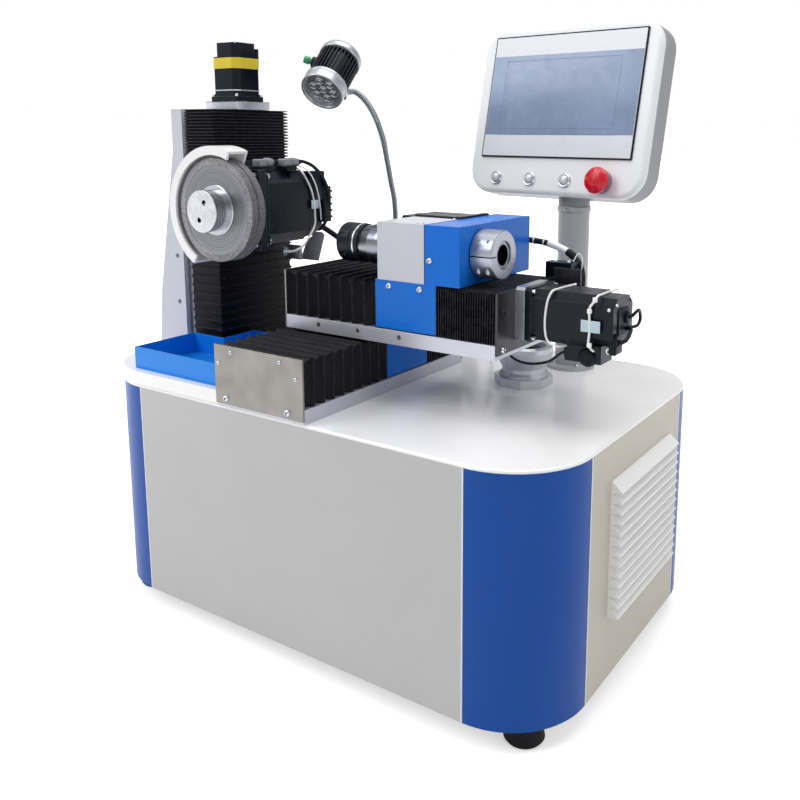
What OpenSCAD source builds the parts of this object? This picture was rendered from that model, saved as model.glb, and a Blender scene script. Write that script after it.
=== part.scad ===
// Wet tool grinder: three motor driven slides on a sheet metal cabinet. The lower
// slide carries the cross slide and the workhead, the column slide carries the
// grinding wheels, and a swivelling operator panel and a work lamp stand behind.
// Machine frame: x to the right, y to the back, z up from the underside of the
// cabinet; placed() then moves the origin to the middle of the footprint, on the floor.

/* [Cabinet] */
// Width of the cabinet, left to right
cab_w = 800; // [780:5:860]
// Depth of the cabinet, front to back
cab_d = 535; // [525:5:600]
// Height of the sheet metal walls
cab_h = 326; // [310:2:340]
// Radius of the quarter round corner panels
corner_r = 111; // [90:1:125]
// Thickness of the wall sheet
skin_t = 2; // [1.5:0.5:3]
// Thickness of the worktop
table_t = 4; // [3.5:0.5:6]
// Rounding of the worktop's upper edge
table_edge_r = 3; // [2:0.5:3]
// Height of the rubber feet
foot_h = 30; // [24:1:40]
// Diameter of the rubber feet
foot_d = 52; // [44:1:60]
// Side of the square frame tube inside the walls
frame_tube = 30; // [24:1:34]
// Distance that the side louvre stands proud of the wall
louvre_d = 15; // [12:1:20]
// Number of louvre blades
louvre_blades = 13; // [10:1:14]

/* [Slides] */
// Width of the slides over their bellows
slide_w = 163; // [160:1:166]
// Thickness of the slide's base rail
rail_t = 20; // [19:0.5:22]
// Height of a slide from the rail's underside to the saddle's top
slide_h = 89; // [88:0.5:94]
// Height of the ball screw over the rail's underside
screw_h = 55; // [53:0.5:57]
// Diameter of the ball screws
screw_d = 16; // [14:1:18]
// Length of the saddles along their travel
saddle_l = 100; // [96:1:104]
// Depth of the bellows' pleats
pleat_d = 8; // [6:0.5:9]
// Length of the lower (Y) slide
y_len = 375; // [365:1:380]
// Length of the cross (X) slide
x_len = 359; // [355:0.5:362]
// Length of the column (Z) slide
z_len = 390; // [380:1:400]
// Left edge of the lower slide
y_slide_x = 282; // [280:1:286]
// Left end of the cross slide
x_slide_x = 297; // [296.5:0.5:299]
// Middle of the Y saddle at rest, from the cabinet's front
y_rest = 226; // [220:1:232]
// Distance of the cross slide's middle in front of the Y saddle's middle
x_slide_back = 19.5; // [17:0.5:22]
// Middle of the X saddle at rest
x_rest = 515; // [510:1:520]
// Middle of the Z saddle at rest, over the slide's foot
z_rest = 260; // [256:1:264]
// Face of the column that the Z slide is bolted to
column_x = 64; // [62:1:66]
// Middle of the Z slide, from the cabinet's front
column_y = 210.5; // [208:0.5:214]

/* [Drives] */
// Frame size of the servo motors of the lower and cross slides
servo_a = 71; // [68:1:74]
// Length of those motors
servo_l = 121; // [116:1:124]
// Frame size of the column slide's motor
z_servo_a = 60; // [56:1:62]
// Length of that motor
z_servo_l = 92; // [84:1:96]
// Thickness of the plate at a slide's motor end
end_t = 3; // [2.5:0.25:4]
// Length of the bored block that carries the motor
mount_t = 13.5; // [12:0.5:15]

/* [Workhead] */
// Height of the workhead over its saddle
head_h = 79; // [77:0.5:82]
// Width of the grey spindle housing
housing_w = 78; // [76:0.5:80]
// Depth of the spindle housing
housing_d = 85; // [82:0.5:86]
// Width of the blue belt cover
cover_w = 55; // [52:0.5:57]
// Depth of the belt cover
cover_d = 188; // [184:1:192]
// Wall of the belt cover
cover_t = 4; // [3:0.5:5]
// Distance of the spindle axis behind the workhead's front
spindle_in = 55; // [54:0.5:57]
// Height of the spindle axis over the saddle
spindle_up = 39.5; // [39:0.5:40.5]
// Diameter of the spindle's front journal
journal_d = 52; // [48:1:54]
// Bore through the spindle
spindle_bore = 28; // [24:1:30]
// Outside diameter of the chuck nut
nut_d = 57; // [54:1:60]
// Outside diameter of the split clamp collar
collar_d = 66; // [62:1:66]
// Length of the split clamp collar
collar_l = 33; // [28:1:34]
// Teeth of the spindle's belt pulley
big_teeth = 40; // [32:4:40]
// Teeth of the motor's belt pulley
small_teeth = 16; // [12:4:16]

/* [Grinding unit] */
// Diameter of the grinding wheels
wheel_d = 150; // [144:1:150]
// Thickness of each grinding wheel
wheel_t = 11; // [9:0.5:12]
// Wheel axis from the cabinet's left face
wheel_x = 225; // [224:0.5:227]
// Wheel axis below the middle of the Z saddle
wheel_drop = 16; // [12:1:18]
// Front face of the front wheel, from the cabinet's front
wheel_y = 61; // [59:0.5:63]
// Frame size of the grinding motor
grinder_a = 110; // [106:1:112]
// Length of the grinding motor
grinder_l = 127; // [120:1:132]
// Diameter of the wheel arbor
arbor_d = 25; // [22:1:28]
// Radial gap between the wheel and the guard's lip
guard_gap = 4; // [3:0.5:5]
// Outer radius of the wheel guard
guard_r = 92; // [90:0.5:93]

/* [Operator panel] */
// Width of the panel housing
panel_w = 324; // [310:1:330]
// Height of the panel housing
panel_h = 270; // [260:1:276]
// Thickness of the panel housing
panel_t = 50; // [46:1:54]
// Corner radius of the panel housing
panel_r = 42; // [36:1:46]
// Width of the screen's bezel
bezel_w = 274; // [260:1:278]
// Height of the screen's bezel
bezel_h = 193; // [180:1:196]
// Backward tilt of the panel
panel_tilt = 12; // [10:1:15]
// Turn of the panel to the left
panel_turn = 7; // [4:1:10]
// Diameter of the post
post_d = 50; // [46:1:52]
// Height of the post over the worktop
post_h = 262; // [256:1:266]

/* [Work lamp] */
// Diameter of the lamp head
lamp_d = 70; // [66:1:74]
// Length of the lamp head
lamp_l = 96; // [90:1:100]
// Diameter of the gooseneck
neck_d = 10; // [9:0.5:11]

/* [Tray] */
// Height of the drip tray's walls
tray_h = 33; // [28:1:34]
// Sheet of the drip tray
tray_t = 2; // [1.5:0.5:3]

/* [Hidden] */
$fn = 64;

// Clearances: a turning or sliding fit (radial), a seat, and a free gap
fit = 0.05;
seat = 0.3;
gap = 0.5;

// Colours
white = "#e8e8ea";
blue = "#1f6fc4";
tray_blue = "#1787ee";
grey = "#c9cad3";
warm_grey = "#c6c3bd";
black = "#15161b";
rubber = "#1c1b1f";
steel = "#b9bbbf";
stainless = "#a9a79f";

// Levels and places of the main parts, machine frame
table_z = cab_h + table_t;
plate_z = table_z + rail_t;
origin_x = (cab_w + louvre_d) / 2;
gland_proj = 14;
front_plate_t = 3;
origin_y = (cab_d + gland_proj - front_plate_t) / 2;
y_mid_x = y_slide_x + slide_w / 2;
x_slide_z = table_z + slide_h;
x_mid_y = y_rest - x_slide_back;
head_front = x_mid_y - slide_w / 2;
head_z = x_slide_z + slide_h;
head_left = x_rest - 46;
cover_left = head_left + housing_w;
spindle_y = head_front + spindle_in;
spindle_z = head_z + spindle_up;
wheel_z = plate_z + z_rest - wheel_drop;
bracket_t = 12;
bracket_y = wheel_y + 2 * wheel_t + 9;
motor_face_y = bracket_y + bracket_t;

module placed() {
    translate([-origin_x, -origin_y, foot_h])
        children();
}

// ---------- Shared shapes ----------

module round_rect(w, d, r) {
    translate([r, 0])
        square([w - 2 * r, d]);
    translate([0, r])
        square([w, d - 2 * r]);
    for (x = [r, w - r], y = [r, d - r])
        translate([x, y])
            circle(r);
}

// Quarter round of radius e that stands on a low edge: the part of a circle over z = 0
module edge_round(e, low) {
    if (low >= e)
        translate([0, low])
            circle(e, $fn = 32);
    else
        intersection() {
            translate([0, low])
                circle(e, $fn = 32);
            translate([-e, 0])
                square([2 * e, low + e]);
        }
}

// A slab with round corners whose upper edge is rounded by e
module rounded_slab(w, d, t, r, e) {
    low = t - e;
    linear_extrude(low)
        round_rect(w, d, r);
    translate([e, e, 0])
        linear_extrude(t)
            round_rect(w - 2 * e, d - 2 * e, r - e);
    for (y = [e, d - e])
        translate([r, y, 0])
            rotate([90, 0, 90])
                linear_extrude(w - 2 * r)
                    edge_round(e, low);
    for (x = [e, w - e])
        translate([x, d - r, 0])
            rotate([90, 0, 0])
                linear_extrude(d - 2 * r)
                    edge_round(e, low);
    for (x = [r, w - r], y = [r, d - r])
        translate([x, y, 0])
            rotate_extrude()
                translate([r - e, 0])
                    edge_round(e, low);
}

// A square of side a with corners cut back by c, about the origin
module cut_square(a, c) {
    h = a / 2;
    polygon([
        [-h + c, -h], [h - c, -h], [h, -h + c], [h, h - c],
        [h - c, h], [-h + c, h], [-h, h - c], [-h, -h + c]
    ]);
}

// Slides are built in their own frame: x along the travel, y across, z away from the
// rail's underside. These three put that frame where each slide is.
module on_y() {
    translate([y_mid_x, 0, table_z])
        rotate([0, 0, 90])
            children();
}

module on_x() {
    translate([x_slide_x, x_mid_y, x_slide_z])
        children();
}

module on_z() {
    translate([column_x, column_y, plate_z])
        rotate([0, -90, 0])
            rotate([180, 0, 0])
                children();
}

// ---------- Slides ----------

guide_w = 15;
guide_h = 15;
guide_pitch = 100;
block_l = 36;
block_w = 36;
bearing_l = 18;
bearing_w = 60;
end_sheet = 3;
skirt_t = 4;
saddle_top_t = 14;
bellows_z0 = rail_t + 1;
bellows_z1 = slide_h - 2;
bellows_wall = 2;
shaft_d = 14;
coupling_d = 34;

// Base rail with two guide rails and a bearing block at each end
module slide_rail(len, width) {
    difference() {
        union() {
            translate([0, -width / 2, 0])
                cube([len, width, rail_t]);
            for (u = [0, len - bearing_l])
                translate([u, -bearing_w / 2, rail_t])
                    cube([bearing_l, bearing_w, screw_h - rail_t + screw_d]);
        }
        translate([-1, 0, screw_h])
            rotate([0, 90, 0])
                cylinder(d = screw_d + 2 * fit, h = len + 2);
    }
    for (side = [-1, 1])
        translate([bearing_l, side * guide_pitch / 2 - guide_w / 2, rail_t])
            cube([len - 2 * bearing_l, guide_w, guide_h]);
}

// Saddle: top plate, side skirts, four guide blocks and the nut of the ball screw
module slide_saddle(width) {
    top_z = slide_h - saddle_top_t;
    translate([-saddle_l / 2, -width / 2, top_z])
        cube([saddle_l, width, saddle_top_t]);
    for (side = [-1, 1])
        translate([-saddle_l / 2, side * (width - skirt_t) / 2 - skirt_t / 2, rail_t + 2])
            cube([saddle_l, skirt_t, top_z - rail_t - 2]);
    difference() {
        for (side = [-1, 1], u = [-1, 1])
            translate([
                u * (saddle_l / 2 - block_l / 2 - 4) - block_l / 2,
                side * guide_pitch / 2 - block_w / 2,
                rail_t + 2
            ])
                cube([block_l, block_w, top_z - rail_t - 2]);
        for (side = [-1, 1])
            translate([-saddle_l, side * guide_pitch / 2 - guide_w / 2 - seat, rail_t])
                cube([2 * saddle_l, guide_w + 2 * seat, guide_h + seat]);
    }
    difference() {
        translate([-20, -22, screw_h - 18])
            cube([40, 44, top_z - screw_h + 18]);
        translate([-21, 0, screw_h])
            rotate([0, 90, 0])
                cylinder(d = screw_d + 2 * fit, h = 42);
    }
}

// Pleated way cover: peaks and valleys on its top and on both of its sides
module bellows(len, pleats) {
    pitch = len / pleats;
    half = slide_w / 2;
    ridge = [for (i = [0 : pleats - 1], k = [0.5, 1]) [(i + k) * pitch, k == 0.5 ? pleat_d : 0]];
    last = len - 0.5;
    inner_w = slide_w - 2 * (pleat_d + bellows_wall);
    difference() {
        intersection() {
            translate([0, half, 0])
                rotate([90, 0, 0])
                    linear_extrude(slide_w)
                        polygon(concat(
                            [[0, bellows_z0], [0, bellows_z1]],
                            [for (p = ridge) [p[0], bellows_z1 - p[1]]],
                            [[len, bellows_z0]]
                        ));
            linear_extrude(slide_h)
                polygon(concat(
                    [[0, -half]],
                    [for (p = ridge) [p[0], -half + p[1]]],
                    [for (i = [len(ridge) - 1 : -1 : 0]) [ridge[i][0], half - ridge[i][1]]],
                    [[0, half]]
                ));
        }
        translate([-1, -inner_w / 2, 0])
            cube([len + 2, inner_w, bellows_z1 - pleat_d - bellows_wall]);
    }
}

// Ball screw with its journal, coupling and the end that enters the motor
module ball_screw(len, tail) {
    translate([0, 0, screw_h])
        rotate([0, 90, 0]) {
            translate([0, 0, 1])
                cylinder(d = screw_d, h = len);
            if (tail > 0) {
                translate([0, 0, len + 1.5])
                    cylinder(d = coupling_d, h = end_t + mount_t - 3);
                translate([0, 0, len])
                    cylinder(d = shaft_d, h = tail);
            }
        }
}

// Servo motor on the +z axis: flange, chamfered body, end cap and connector box.
// Its face has a blind hole for the driven shaft.
module servo(a, len, hole_d, hole_deep) {
    flange_t = 9;
    cap_l = len * 0.24;
    difference() {
        union() {
            linear_extrude(flange_t)
                cut_square(a, a * 0.05);
            translate([0, 0, flange_t])
                linear_extrude(len - flange_t - cap_l)
                    cut_square(a - 3, a * 0.15);
            translate([0, 0, len - cap_l])
                linear_extrude(cap_l)
                    cut_square(a - 9, a * 0.17);
        }
        translate([0, 0, -1])
            cylinder(d = hole_d, h = hole_deep + 1);
        for (x = [-1, 1], y = [-1, 1])
            translate([x * a * 0.43, y * a * 0.43, flange_t])
                cylinder(d = a * 0.12, h = 4);
    }
}

end_low = 6.5;

// Plate over a slide's motor end, with the bored block that carries the motor
module motor_end() {
    difference() {
        union() {
            translate([0, -slide_w / 2, end_low])
                cube([end_t, slide_w, bellows_z1 + 0.5 - end_low]);
            translate([end_t, 0, screw_h])
                rotate([0, 90, 0])
                    linear_extrude(mount_t)
                        cut_square(servo_a, servo_a * 0.05);
        }
        translate([-1, 0, screw_h])
            rotate([0, 90, 0])
                cylinder(d = coupling_d + 4, h = end_t + mount_t + 2);
        for (side = [-1, 1], z = [12, screw_h + 6])
            translate([-1, side * (slide_w / 2 - 15), z])
                rotate([0, 90, 0])
                    cylinder(d = 5, h = end_t + 2);
    }
}

// ---------- Cabinet ----------

foot_in = 55;

module feet() {
    color(black)
        placed()
            for (x = [foot_in, cab_w - foot_in], y = [foot_in, cab_d - foot_in])
                translate([x, y, -foot_h])
                    rotate_extrude()
                        polygon([
                            [0, 0], [foot_d / 2 - 3, 0], [foot_d / 2, 4], [foot_d / 2 - 4, foot_h - 6],
                            [foot_d / 2 - 2, foot_h - 4], [foot_d / 2 - 2, foot_h], [0, foot_h]
                        ]);
}

floor_t = 3;

frame_in = corner_r * 0.33;

module tube_ring(z) {
    inner = frame_in + frame_tube;
    difference() {
        translate([frame_in, frame_in, z])
            cube([cab_w - 2 * frame_in, cab_d - 2 * frame_in, frame_tube]);
        translate([inner, inner, z - 1])
            cube([cab_w - 2 * inner, cab_d - 2 * inner, frame_tube + 2]);
    }
}

// Floor pan with a lower and an upper ring of square tube and four posts
module cabinet_frame() {
    color(white)
        placed() {
            translate([skin_t + 0.2, skin_t + 0.2, 0])
                linear_extrude(floor_t)
                    round_rect(
                        cab_w - 2 * skin_t - 0.4,
                        cab_d - 2 * skin_t - 0.4,
                        corner_r - skin_t - 0.2
                    );
            tube_ring(floor_t);
            tube_ring(cab_h - frame_tube);
            for (x = [frame_in, cab_w - frame_in - frame_tube])
                for (y = [frame_in, cab_d - frame_in - frame_tube])
                    translate([x, y, floor_t])
                        cube([frame_tube, frame_tube, cab_h - floor_t]);
        }
}

flange_in = 15;

// Flat wall along x with a return flange at each end; the skin lies on y = 0
module wall_panel(len) {
    translate([gap, 0, 0])
        cube([len - 2 * gap, skin_t, cab_h]);
    for (x = [gap, len - gap - skin_t])
        translate([x, 0, floor_t + seat])
            cube([skin_t, flange_in, cab_h - floor_t - seat]);
}

module front_panel() {
    color(white)
        placed()
            translate([corner_r, 0, 0])
                wall_panel(cab_w - 2 * corner_r);
}

vent_slots = 6;
gland_hole = 20;

module back_panel() {
    wall = cab_w - 2 * corner_r;
    color(warm_grey)
        placed()
            translate([cab_w - corner_r, cab_d, 0])
                rotate([0, 0, 180]) {
                    difference() {
                        wall_panel(wall);
                        for (row = [0 : vent_slots - 1], col = [0 : 3])
                            translate([wall / 2 - 118 + col * 62, -1, cab_h / 2 + row * 14])
                                cube([50, skin_t + 2, 6]);
                        translate([60, -1, 60])
                            rotate([-90, 0, 0])
                                cylinder(d = gland_hole, h = skin_t + 2);
                    }
                    translate([60, skin_t + 6, 60])
                        rotate([90, 0, 0])
                            difference() {
                                union() {
                                    cylinder(d = gland_hole, h = skin_t + 6);
                                    translate([0, 0, skin_t + 6])
                                        cylinder(d = 26, h = gland_proj * 0.5, $fn = 6);
                                    cylinder(d = 28, h = 6, $fn = 6);
                                    translate([0, 0, skin_t + 6])
                                        cylinder(d1 = 23, d2 = 18, h = gland_proj);
                                }
                                translate([0, 0, -1])
                                    cylinder(d = 10, h = skin_t + gland_proj + 8);
                            }
                }
}

louvre_y = 172;
louvre_w = 213;
louvre_z = 90;
louvre_h = 185;

module side_panels() {
    wall = cab_d - 2 * corner_r;
    slot_w = 52;
    color(warm_grey)
        placed() {
            translate([cab_w, corner_r, 0])
                rotate([0, 0, 90])
                    difference() {
                        wall_panel(wall);
                        for (row = [0 : louvre_blades - 1], col = [0 : 2])
                            translate([
                                louvre_y - corner_r + 18 + col * 62,
                                -1,
                                louvre_z + 12 + row * (louvre_h - 24) / louvre_blades
                            ])
                                cube([slot_w, skin_t + 2, 6]);
                    }
            translate([0, cab_d - corner_r, 0])
                rotate([0, 0, -90])
                    wall_panel(wall);
        }
}

module corner_panels() {
    color(blue)
        placed()
            for (i = [0 : 3])
                translate([
                    i == 0 || i == 3 ? cab_w - corner_r : corner_r,
                    i < 2 ? cab_d - corner_r : corner_r,
                    0
                ])
                    rotate([0, 0, i * 90])
                        rotate_extrude(angle = 90)
                            translate([corner_r - skin_t, 0])
                                square([skin_t, cab_h]);
}

// Stack of sloping blades with closed ends on a slotted back frame
module side_louvre() {
    rim = 8;
    back_t = 2;
    sheet = 1.5;
    lip = 2;
    pitch = louvre_h / louvre_blades;
    blade = [
        [0, pitch - 2 * sheet], [0, pitch - seat], [back_t, pitch - seat],
        [louvre_d, lip + seat], [louvre_d, seat], [louvre_d - sheet, seat],
        [louvre_d - sheet, lip]
    ];
    cheek = [[0, seat], [0, pitch - seat], [back_t, pitch - seat], [louvre_d, lip + seat], [louvre_d, seat]];
    color(white)
        placed()
            translate([cab_w, louvre_y, louvre_z]) {
                difference() {
                    cube([back_t, louvre_w, louvre_h]);
                    translate([-1, rim, rim])
                        cube([louvre_d, louvre_w - 2 * rim, louvre_h - 2 * rim]);
                }
                for (i = [0 : louvre_blades - 1])
                    translate([0, louvre_w, i * pitch])
                        rotate([90, 0, 0]) {
                            linear_extrude(louvre_w)
                                polygon(blade);
                            for (y = [0, louvre_w - 2 * sheet])
                                translate([0, 0, y])
                                    linear_extrude(2 * sheet)
                                        polygon(cheek);
                        }
            }
}

drain_x = 215;
drain_y = 110;
drain_d = 16;

module worktop() {
    color(white)
        placed()
            difference() {
                translate([0, 0, cab_h])
                    rounded_slab(cab_w, cab_d, table_t, corner_r, table_edge_r);
                translate([drain_x, drain_y, cab_h - 1])
                    cylinder(d = drain_d + 6, h = table_t + 2);
                translate([gland_x, gland_y, cab_h - 1])
                    cylinder(d = gland_bore, h = table_t + 2);
            }
}

// Raised plate under the column and the tray, level with the lower slide's rail
module base_plate() {
    color(white)
        placed()
            difference() {
                intersection() {
                    translate([0, 0, table_z])
                        linear_extrude(rail_t)
                            round_rect(cab_w, cab_d, corner_r);
                    translate([-1, -1, table_z - 1])
                        cube([y_slide_x - seat + 1, y_len + 1, rail_t + 2]);
                }
                translate([drain_x, drain_y, table_z - 1])
                    cylinder(d = drain_d + 6, h = rail_t + 2);
            }
}

drive_n = 4;
drive_w = 50;
tank_w = 230;
tank_d = 180;
tank_h = 160;

// Inside the cabinet: back plate with four servo drives and a supply unit, and the
// coolant tank with its pump
module cabinet_equipment() {
    board_x = cab_w - 370;
    board_y = cab_d - frame_in - frame_tube - 3;
    color(steel)
        placed() {
            translate([board_x, board_y, floor_t])
                cube([300, 3, cab_h - floor_t - 10]);
            for (i = [0 : drive_n - 1])
                translate([board_x + 12 + i * (drive_w + 8), board_y - 130, 93])
                    difference() {
                        cube([drive_w, 130, 165]);
                        for (k = [0 : 5])
                            translate([6 + k * 7, -1, 15])
                                cube([3, 40, 120]);
                    }
            translate([board_x + 250, board_y - 80, 93])
                cube([44, 80, 120]);
            translate([110, 200, floor_t]) {
                difference() {
                    cube([tank_w, tank_d, tank_h]);
                    translate([3, 3, 3])
                        cube([tank_w - 6, tank_d - 6, tank_h]);
                }
                translate([0, tank_d - 100, tank_h])
                    cube([110, 100, 3]);
                translate([55, tank_d - 50, tank_h + 3])
                    cylinder(d = 80, h = 90);
                translate([55, tank_d - 50, 20])
                    cylinder(d = 60, h = tank_h - 20);
            }
        }
}

// ---------- Lower slide ----------

rear_y = y_len + end_t + mount_t;

module y_rail() {
    color(steel)
        placed()
            on_y()
                slide_rail(y_len, slide_w);
}

module y_end_plates() {
    color(stainless)
        placed()
            on_y() {
                translate([-front_plate_t, -slide_w / 2, 4])
                    cube([front_plate_t, slide_w, slide_h - 5]);
                translate([y_len, 0, 0])
                    motor_end();
            }
}

module y_motor() {
    color(black)
        placed()
            on_y() {
                translate([y_len + end_t + mount_t, 0, screw_h])
                    rotate([0, 90, 0])
                        servo(servo_a, servo_l, shaft_d + 2 * fit, 22);
            }
}

y_front_l = y_rest - saddle_l / 2;
y_rear_l = y_len - y_rest - saddle_l / 2;
y_pleats = 9;
fine_pleats = 16;
x_fine_pleats = 24;

module y_bellows_front() {
    color(rubber)
        placed()
            on_y()
                translate([seat, 0, 0])
                    bellows(y_front_l - 2 * seat, y_pleats);
}

module y_bellows_rear() {
    color(rubber)
        placed()
            on_y()
                translate([y_rest + saddle_l / 2 + seat, 0, 0])
                    bellows(y_rear_l - 2 * seat, fine_pleats);
}

module y_screw() {
    color(steel)
        placed()
            on_y()
                ball_screw(y_len, end_t + mount_t + 20);
}

module y_saddle() {
    color(blue)
        placed()
            on_y()
                translate([y_rest, 0, 0])
                    slide_saddle(slide_w);
}

// ---------- Cross slide ----------

rail_hole_d = 7;
rail_hole_pitch = 72.5;
rail_hole_first = 62;

module x_rail() {
    color(steel)
        placed()
            on_x()
                difference() {
                    slide_rail(x_len, slide_w);
                    for (i = [0 : 2])
                        translate([rail_hole_first + i * rail_hole_pitch, -slide_w / 2 - 1, rail_t * 0.55])
                            rotate([-90, 0, 0])
                                cylinder(d = rail_hole_d, h = 13);
                }
}

x_plate_t = 2.5;

cable_tab_l = 42;
cable_tab_z = 13;

module x_end_plates() {
    color(stainless)
        placed()
            on_x() {
                translate([-x_plate_t, -slide_w / 2, 0])
                    cube([x_plate_t, slide_w, slide_h - 2]);
                translate([x_len, 0, 0])
                    motor_end();
                translate([x_len, slide_w / 2 - end_t, cable_tab_z])
                    cube([cable_tab_l, end_t, slide_h + 12 - cable_tab_z]);
            }
}

plug_w = 50;
x_block_l = 40;

module x_motor() {
    color(black)
        placed()
            on_x() {
                translate([x_len + end_t + mount_t, 0, screw_h])
                    rotate([0, 90, 0])
                        servo(servo_a, servo_l, shaft_d + 2 * fit, 22);
                translate([
                    x_len + end_t + mount_t + servo_l * 0.43,
                    -servo_a * 0.3,
                    screw_h - servo_a / 2 - 20
                ])
                    cube([plug_w, servo_a * 0.5, 24]);
                translate([x_len - 14, slide_w / 2, slide_h - 8])
                    cube([x_block_l, 21, 27]);
            }
}

x_left_l = x_rest - saddle_l / 2 - x_slide_x;
x_right_l = x_len - x_left_l - saddle_l;
x_pleats = 8;

module x_bellows_left() {
    color(rubber)
        placed()
            on_x()
                translate([seat, 0, 0])
                    bellows(x_left_l - 2 * seat, x_pleats);
}

module x_bellows_right() {
    color(rubber)
        placed()
            on_x()
                translate([x_left_l + saddle_l + seat, 0, 0])
                    bellows(x_right_l - 2 * seat, x_fine_pleats);
}

module x_screw() {
    color(steel)
        placed()
            on_x()
                ball_screw(x_len, end_t + mount_t + 20);
}

module x_saddle() {
    color(blue)
        placed()
            on_x()
                translate([x_rest - x_slide_x, 0, 0])
                    slide_saddle(slide_w);
}

// ---------- Workhead ----------

tube_d = 38;
nose_l = 69;
thread_d = 40;
thread_l = 28;
head_motor_a = 80;
head_motor_y = head_front + housing_d + 2 + head_motor_a / 2;
head_motor_z = head_z + head_motor_a / 2 + 2;
head_motor_l = 112;
belt_w = 14;
pulley_x = cover_left + cover_t + 6;
tooth_pitch = 5;
tooth_h = 2;
belt_t = 2;

// Spindle frame: x along the spindle, with the axis through the origin
module on_spindle(x) {
    translate([x, spindle_y, spindle_z])
        rotate([0, 90, 0])
            children();
}

module spindle_housing() {
    color(grey)
        placed()
            difference() {
                translate([head_left, head_front, head_z])
                    cube([housing_w, housing_d, head_h]);
                on_spindle(head_left - 1)
                    cylinder(d = journal_d + 2 * fit, h = housing_w + 2);
            }
}

// Hollow cover over the belt drive, with a back plate that carries the motor
module belt_cover() {
    color(blue)
        placed()
            difference() {
                translate([cover_left, head_front, head_z])
                    cube([cover_w, cover_d, head_h]);
                translate([cover_left + cover_t, head_front + cover_t, head_z + cover_t])
                    cube([cover_w - 2 * cover_t, cover_d - 2 * cover_t, head_h - 2 * cover_t]);
                on_spindle(cover_left - 1)
                    cylinder(d = journal_d + 4, h = cover_t + 2);
                on_spindle(cover_left + cover_w - cover_t - 1)
                    cylinder(d = tube_d + 6, h = cover_t + 2);
                translate([cover_left - 1, head_motor_y, head_motor_z])
                    rotate([0, 90, 0])
                        cylinder(d = 40, h = cover_t + 2);
            }
    color(blue)
        placed()
            translate([cover_left + 14, head_front + cover_d, head_z + 38])
                cube([10, 12, 12]);
}

module head_motor() {
    color(black)
        placed()
            translate([cover_left, head_motor_y, head_motor_z])
                rotate([0, -90, 0])
                    servo(head_motor_a, head_motor_l, shaft_d + 2 * fit, 26);
}

function pitch_r(teeth) = teeth * tooth_pitch / (2 * PI);

// Toothed outline: four points for each tooth
function tooth_ring(teeth) = [
    for (i = [0 : teeth - 1], k = [0 : 3])
        let (
            a = (i + [0, 0.3, 0.5, 0.8][k]) * 360 / teeth,
            r = pitch_r(teeth) - (k < 2 ? 0 : tooth_h)
        )
            [r * cos(a), r * sin(a)]
];

// Belt outline round two pulleys whose centres are c apart along +x
function belt_line(r1, r2, c) =
    let (lean = acos((r1 - r2) / c))
        concat(
            [for (i = [0 : 20]) let (a = lean + i * (360 - 2 * lean) / 20) [r1 * cos(a), r1 * sin(a)]],
            [for (i = [0 : 12]) let (a = -lean + i * 2 * lean / 12) [c + r2 * cos(a), r2 * sin(a)]]
        );

pulley_gap_y = head_motor_y - spindle_y;
pulley_gap_z = head_motor_z - spindle_z;
pulley_gap = sqrt(pulley_gap_y * pulley_gap_y + pulley_gap_z * pulley_gap_z);
pulley_lean = atan2(pulley_gap_z, pulley_gap_y);

module timing_belt() {
    inner = 0.5;
    color(rubber)
        placed()
            translate([pulley_x, spindle_y, spindle_z])
                rotate([pulley_lean, 0, 0])
                    rotate([90, 0, 90])
                        linear_extrude(belt_w)
                            difference() {
                                polygon(belt_line(
                                    pitch_r(big_teeth) + inner + belt_t,
                                    pitch_r(small_teeth) + inner + belt_t,
                                    pulley_gap
                                ));
                                polygon(belt_line(
                                    pitch_r(big_teeth) + inner,
                                    pitch_r(small_teeth) + inner,
                                    pulley_gap
                                ));
                            }
}

module toothed_pulley(teeth, bore) {
    difference() {
        union() {
            linear_extrude(belt_w)
                polygon(tooth_ring(teeth));
            translate([0, 0, belt_w])
                cylinder(r = pitch_r(teeth) + 0.2, h = 2);
        }
        translate([0, 0, -1])
            cylinder(d = bore, h = belt_w + 4);
    }
}

module motor_pulley() {
    color(steel)
        placed()
            translate([0, head_motor_y, head_motor_z])
                rotate([0, 90, 0]) {
                    translate([0, 0, cover_left - 20])
                        cylinder(d = shaft_d, h = pulley_x - cover_left + 20 + belt_w + 4);
                    translate([0, 0, pulley_x])
                        toothed_pulley(small_teeth, shaft_d);
                }
}

nose_x = head_left - nose_l;
spindle_end = cover_left + cover_w + collar_l - 1;

// Hollow spindle: thread, tapered nose, journal, rear tube and belt pulley
module work_spindle() {
    color(steel)
        placed() {
            on_spindle(nose_x)
                rotate_extrude()
                    polygon([
                        [spindle_bore / 2, -thread_l], [thread_d / 2 - 1, -thread_l],
                        [thread_d / 2, -thread_l + 1], [thread_d / 2, 0],
                        [23, 0], [24.5, 4], [27, 15], [29, 28], [30, 42], [30, nose_l - seat],
                        [journal_d / 2, nose_l - seat], [journal_d / 2, nose_l + housing_w],
                        [tube_d / 2, nose_l + housing_w],
                        [tube_d / 2, spindle_end - nose_x], [spindle_bore / 2, spindle_end - nose_x]
                    ]);
            on_spindle(pulley_x)
                toothed_pulley(big_teeth, tube_d);
        }
}

nut_lip = 3.7;
nut_mouth = spindle_bore + 1;

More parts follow.
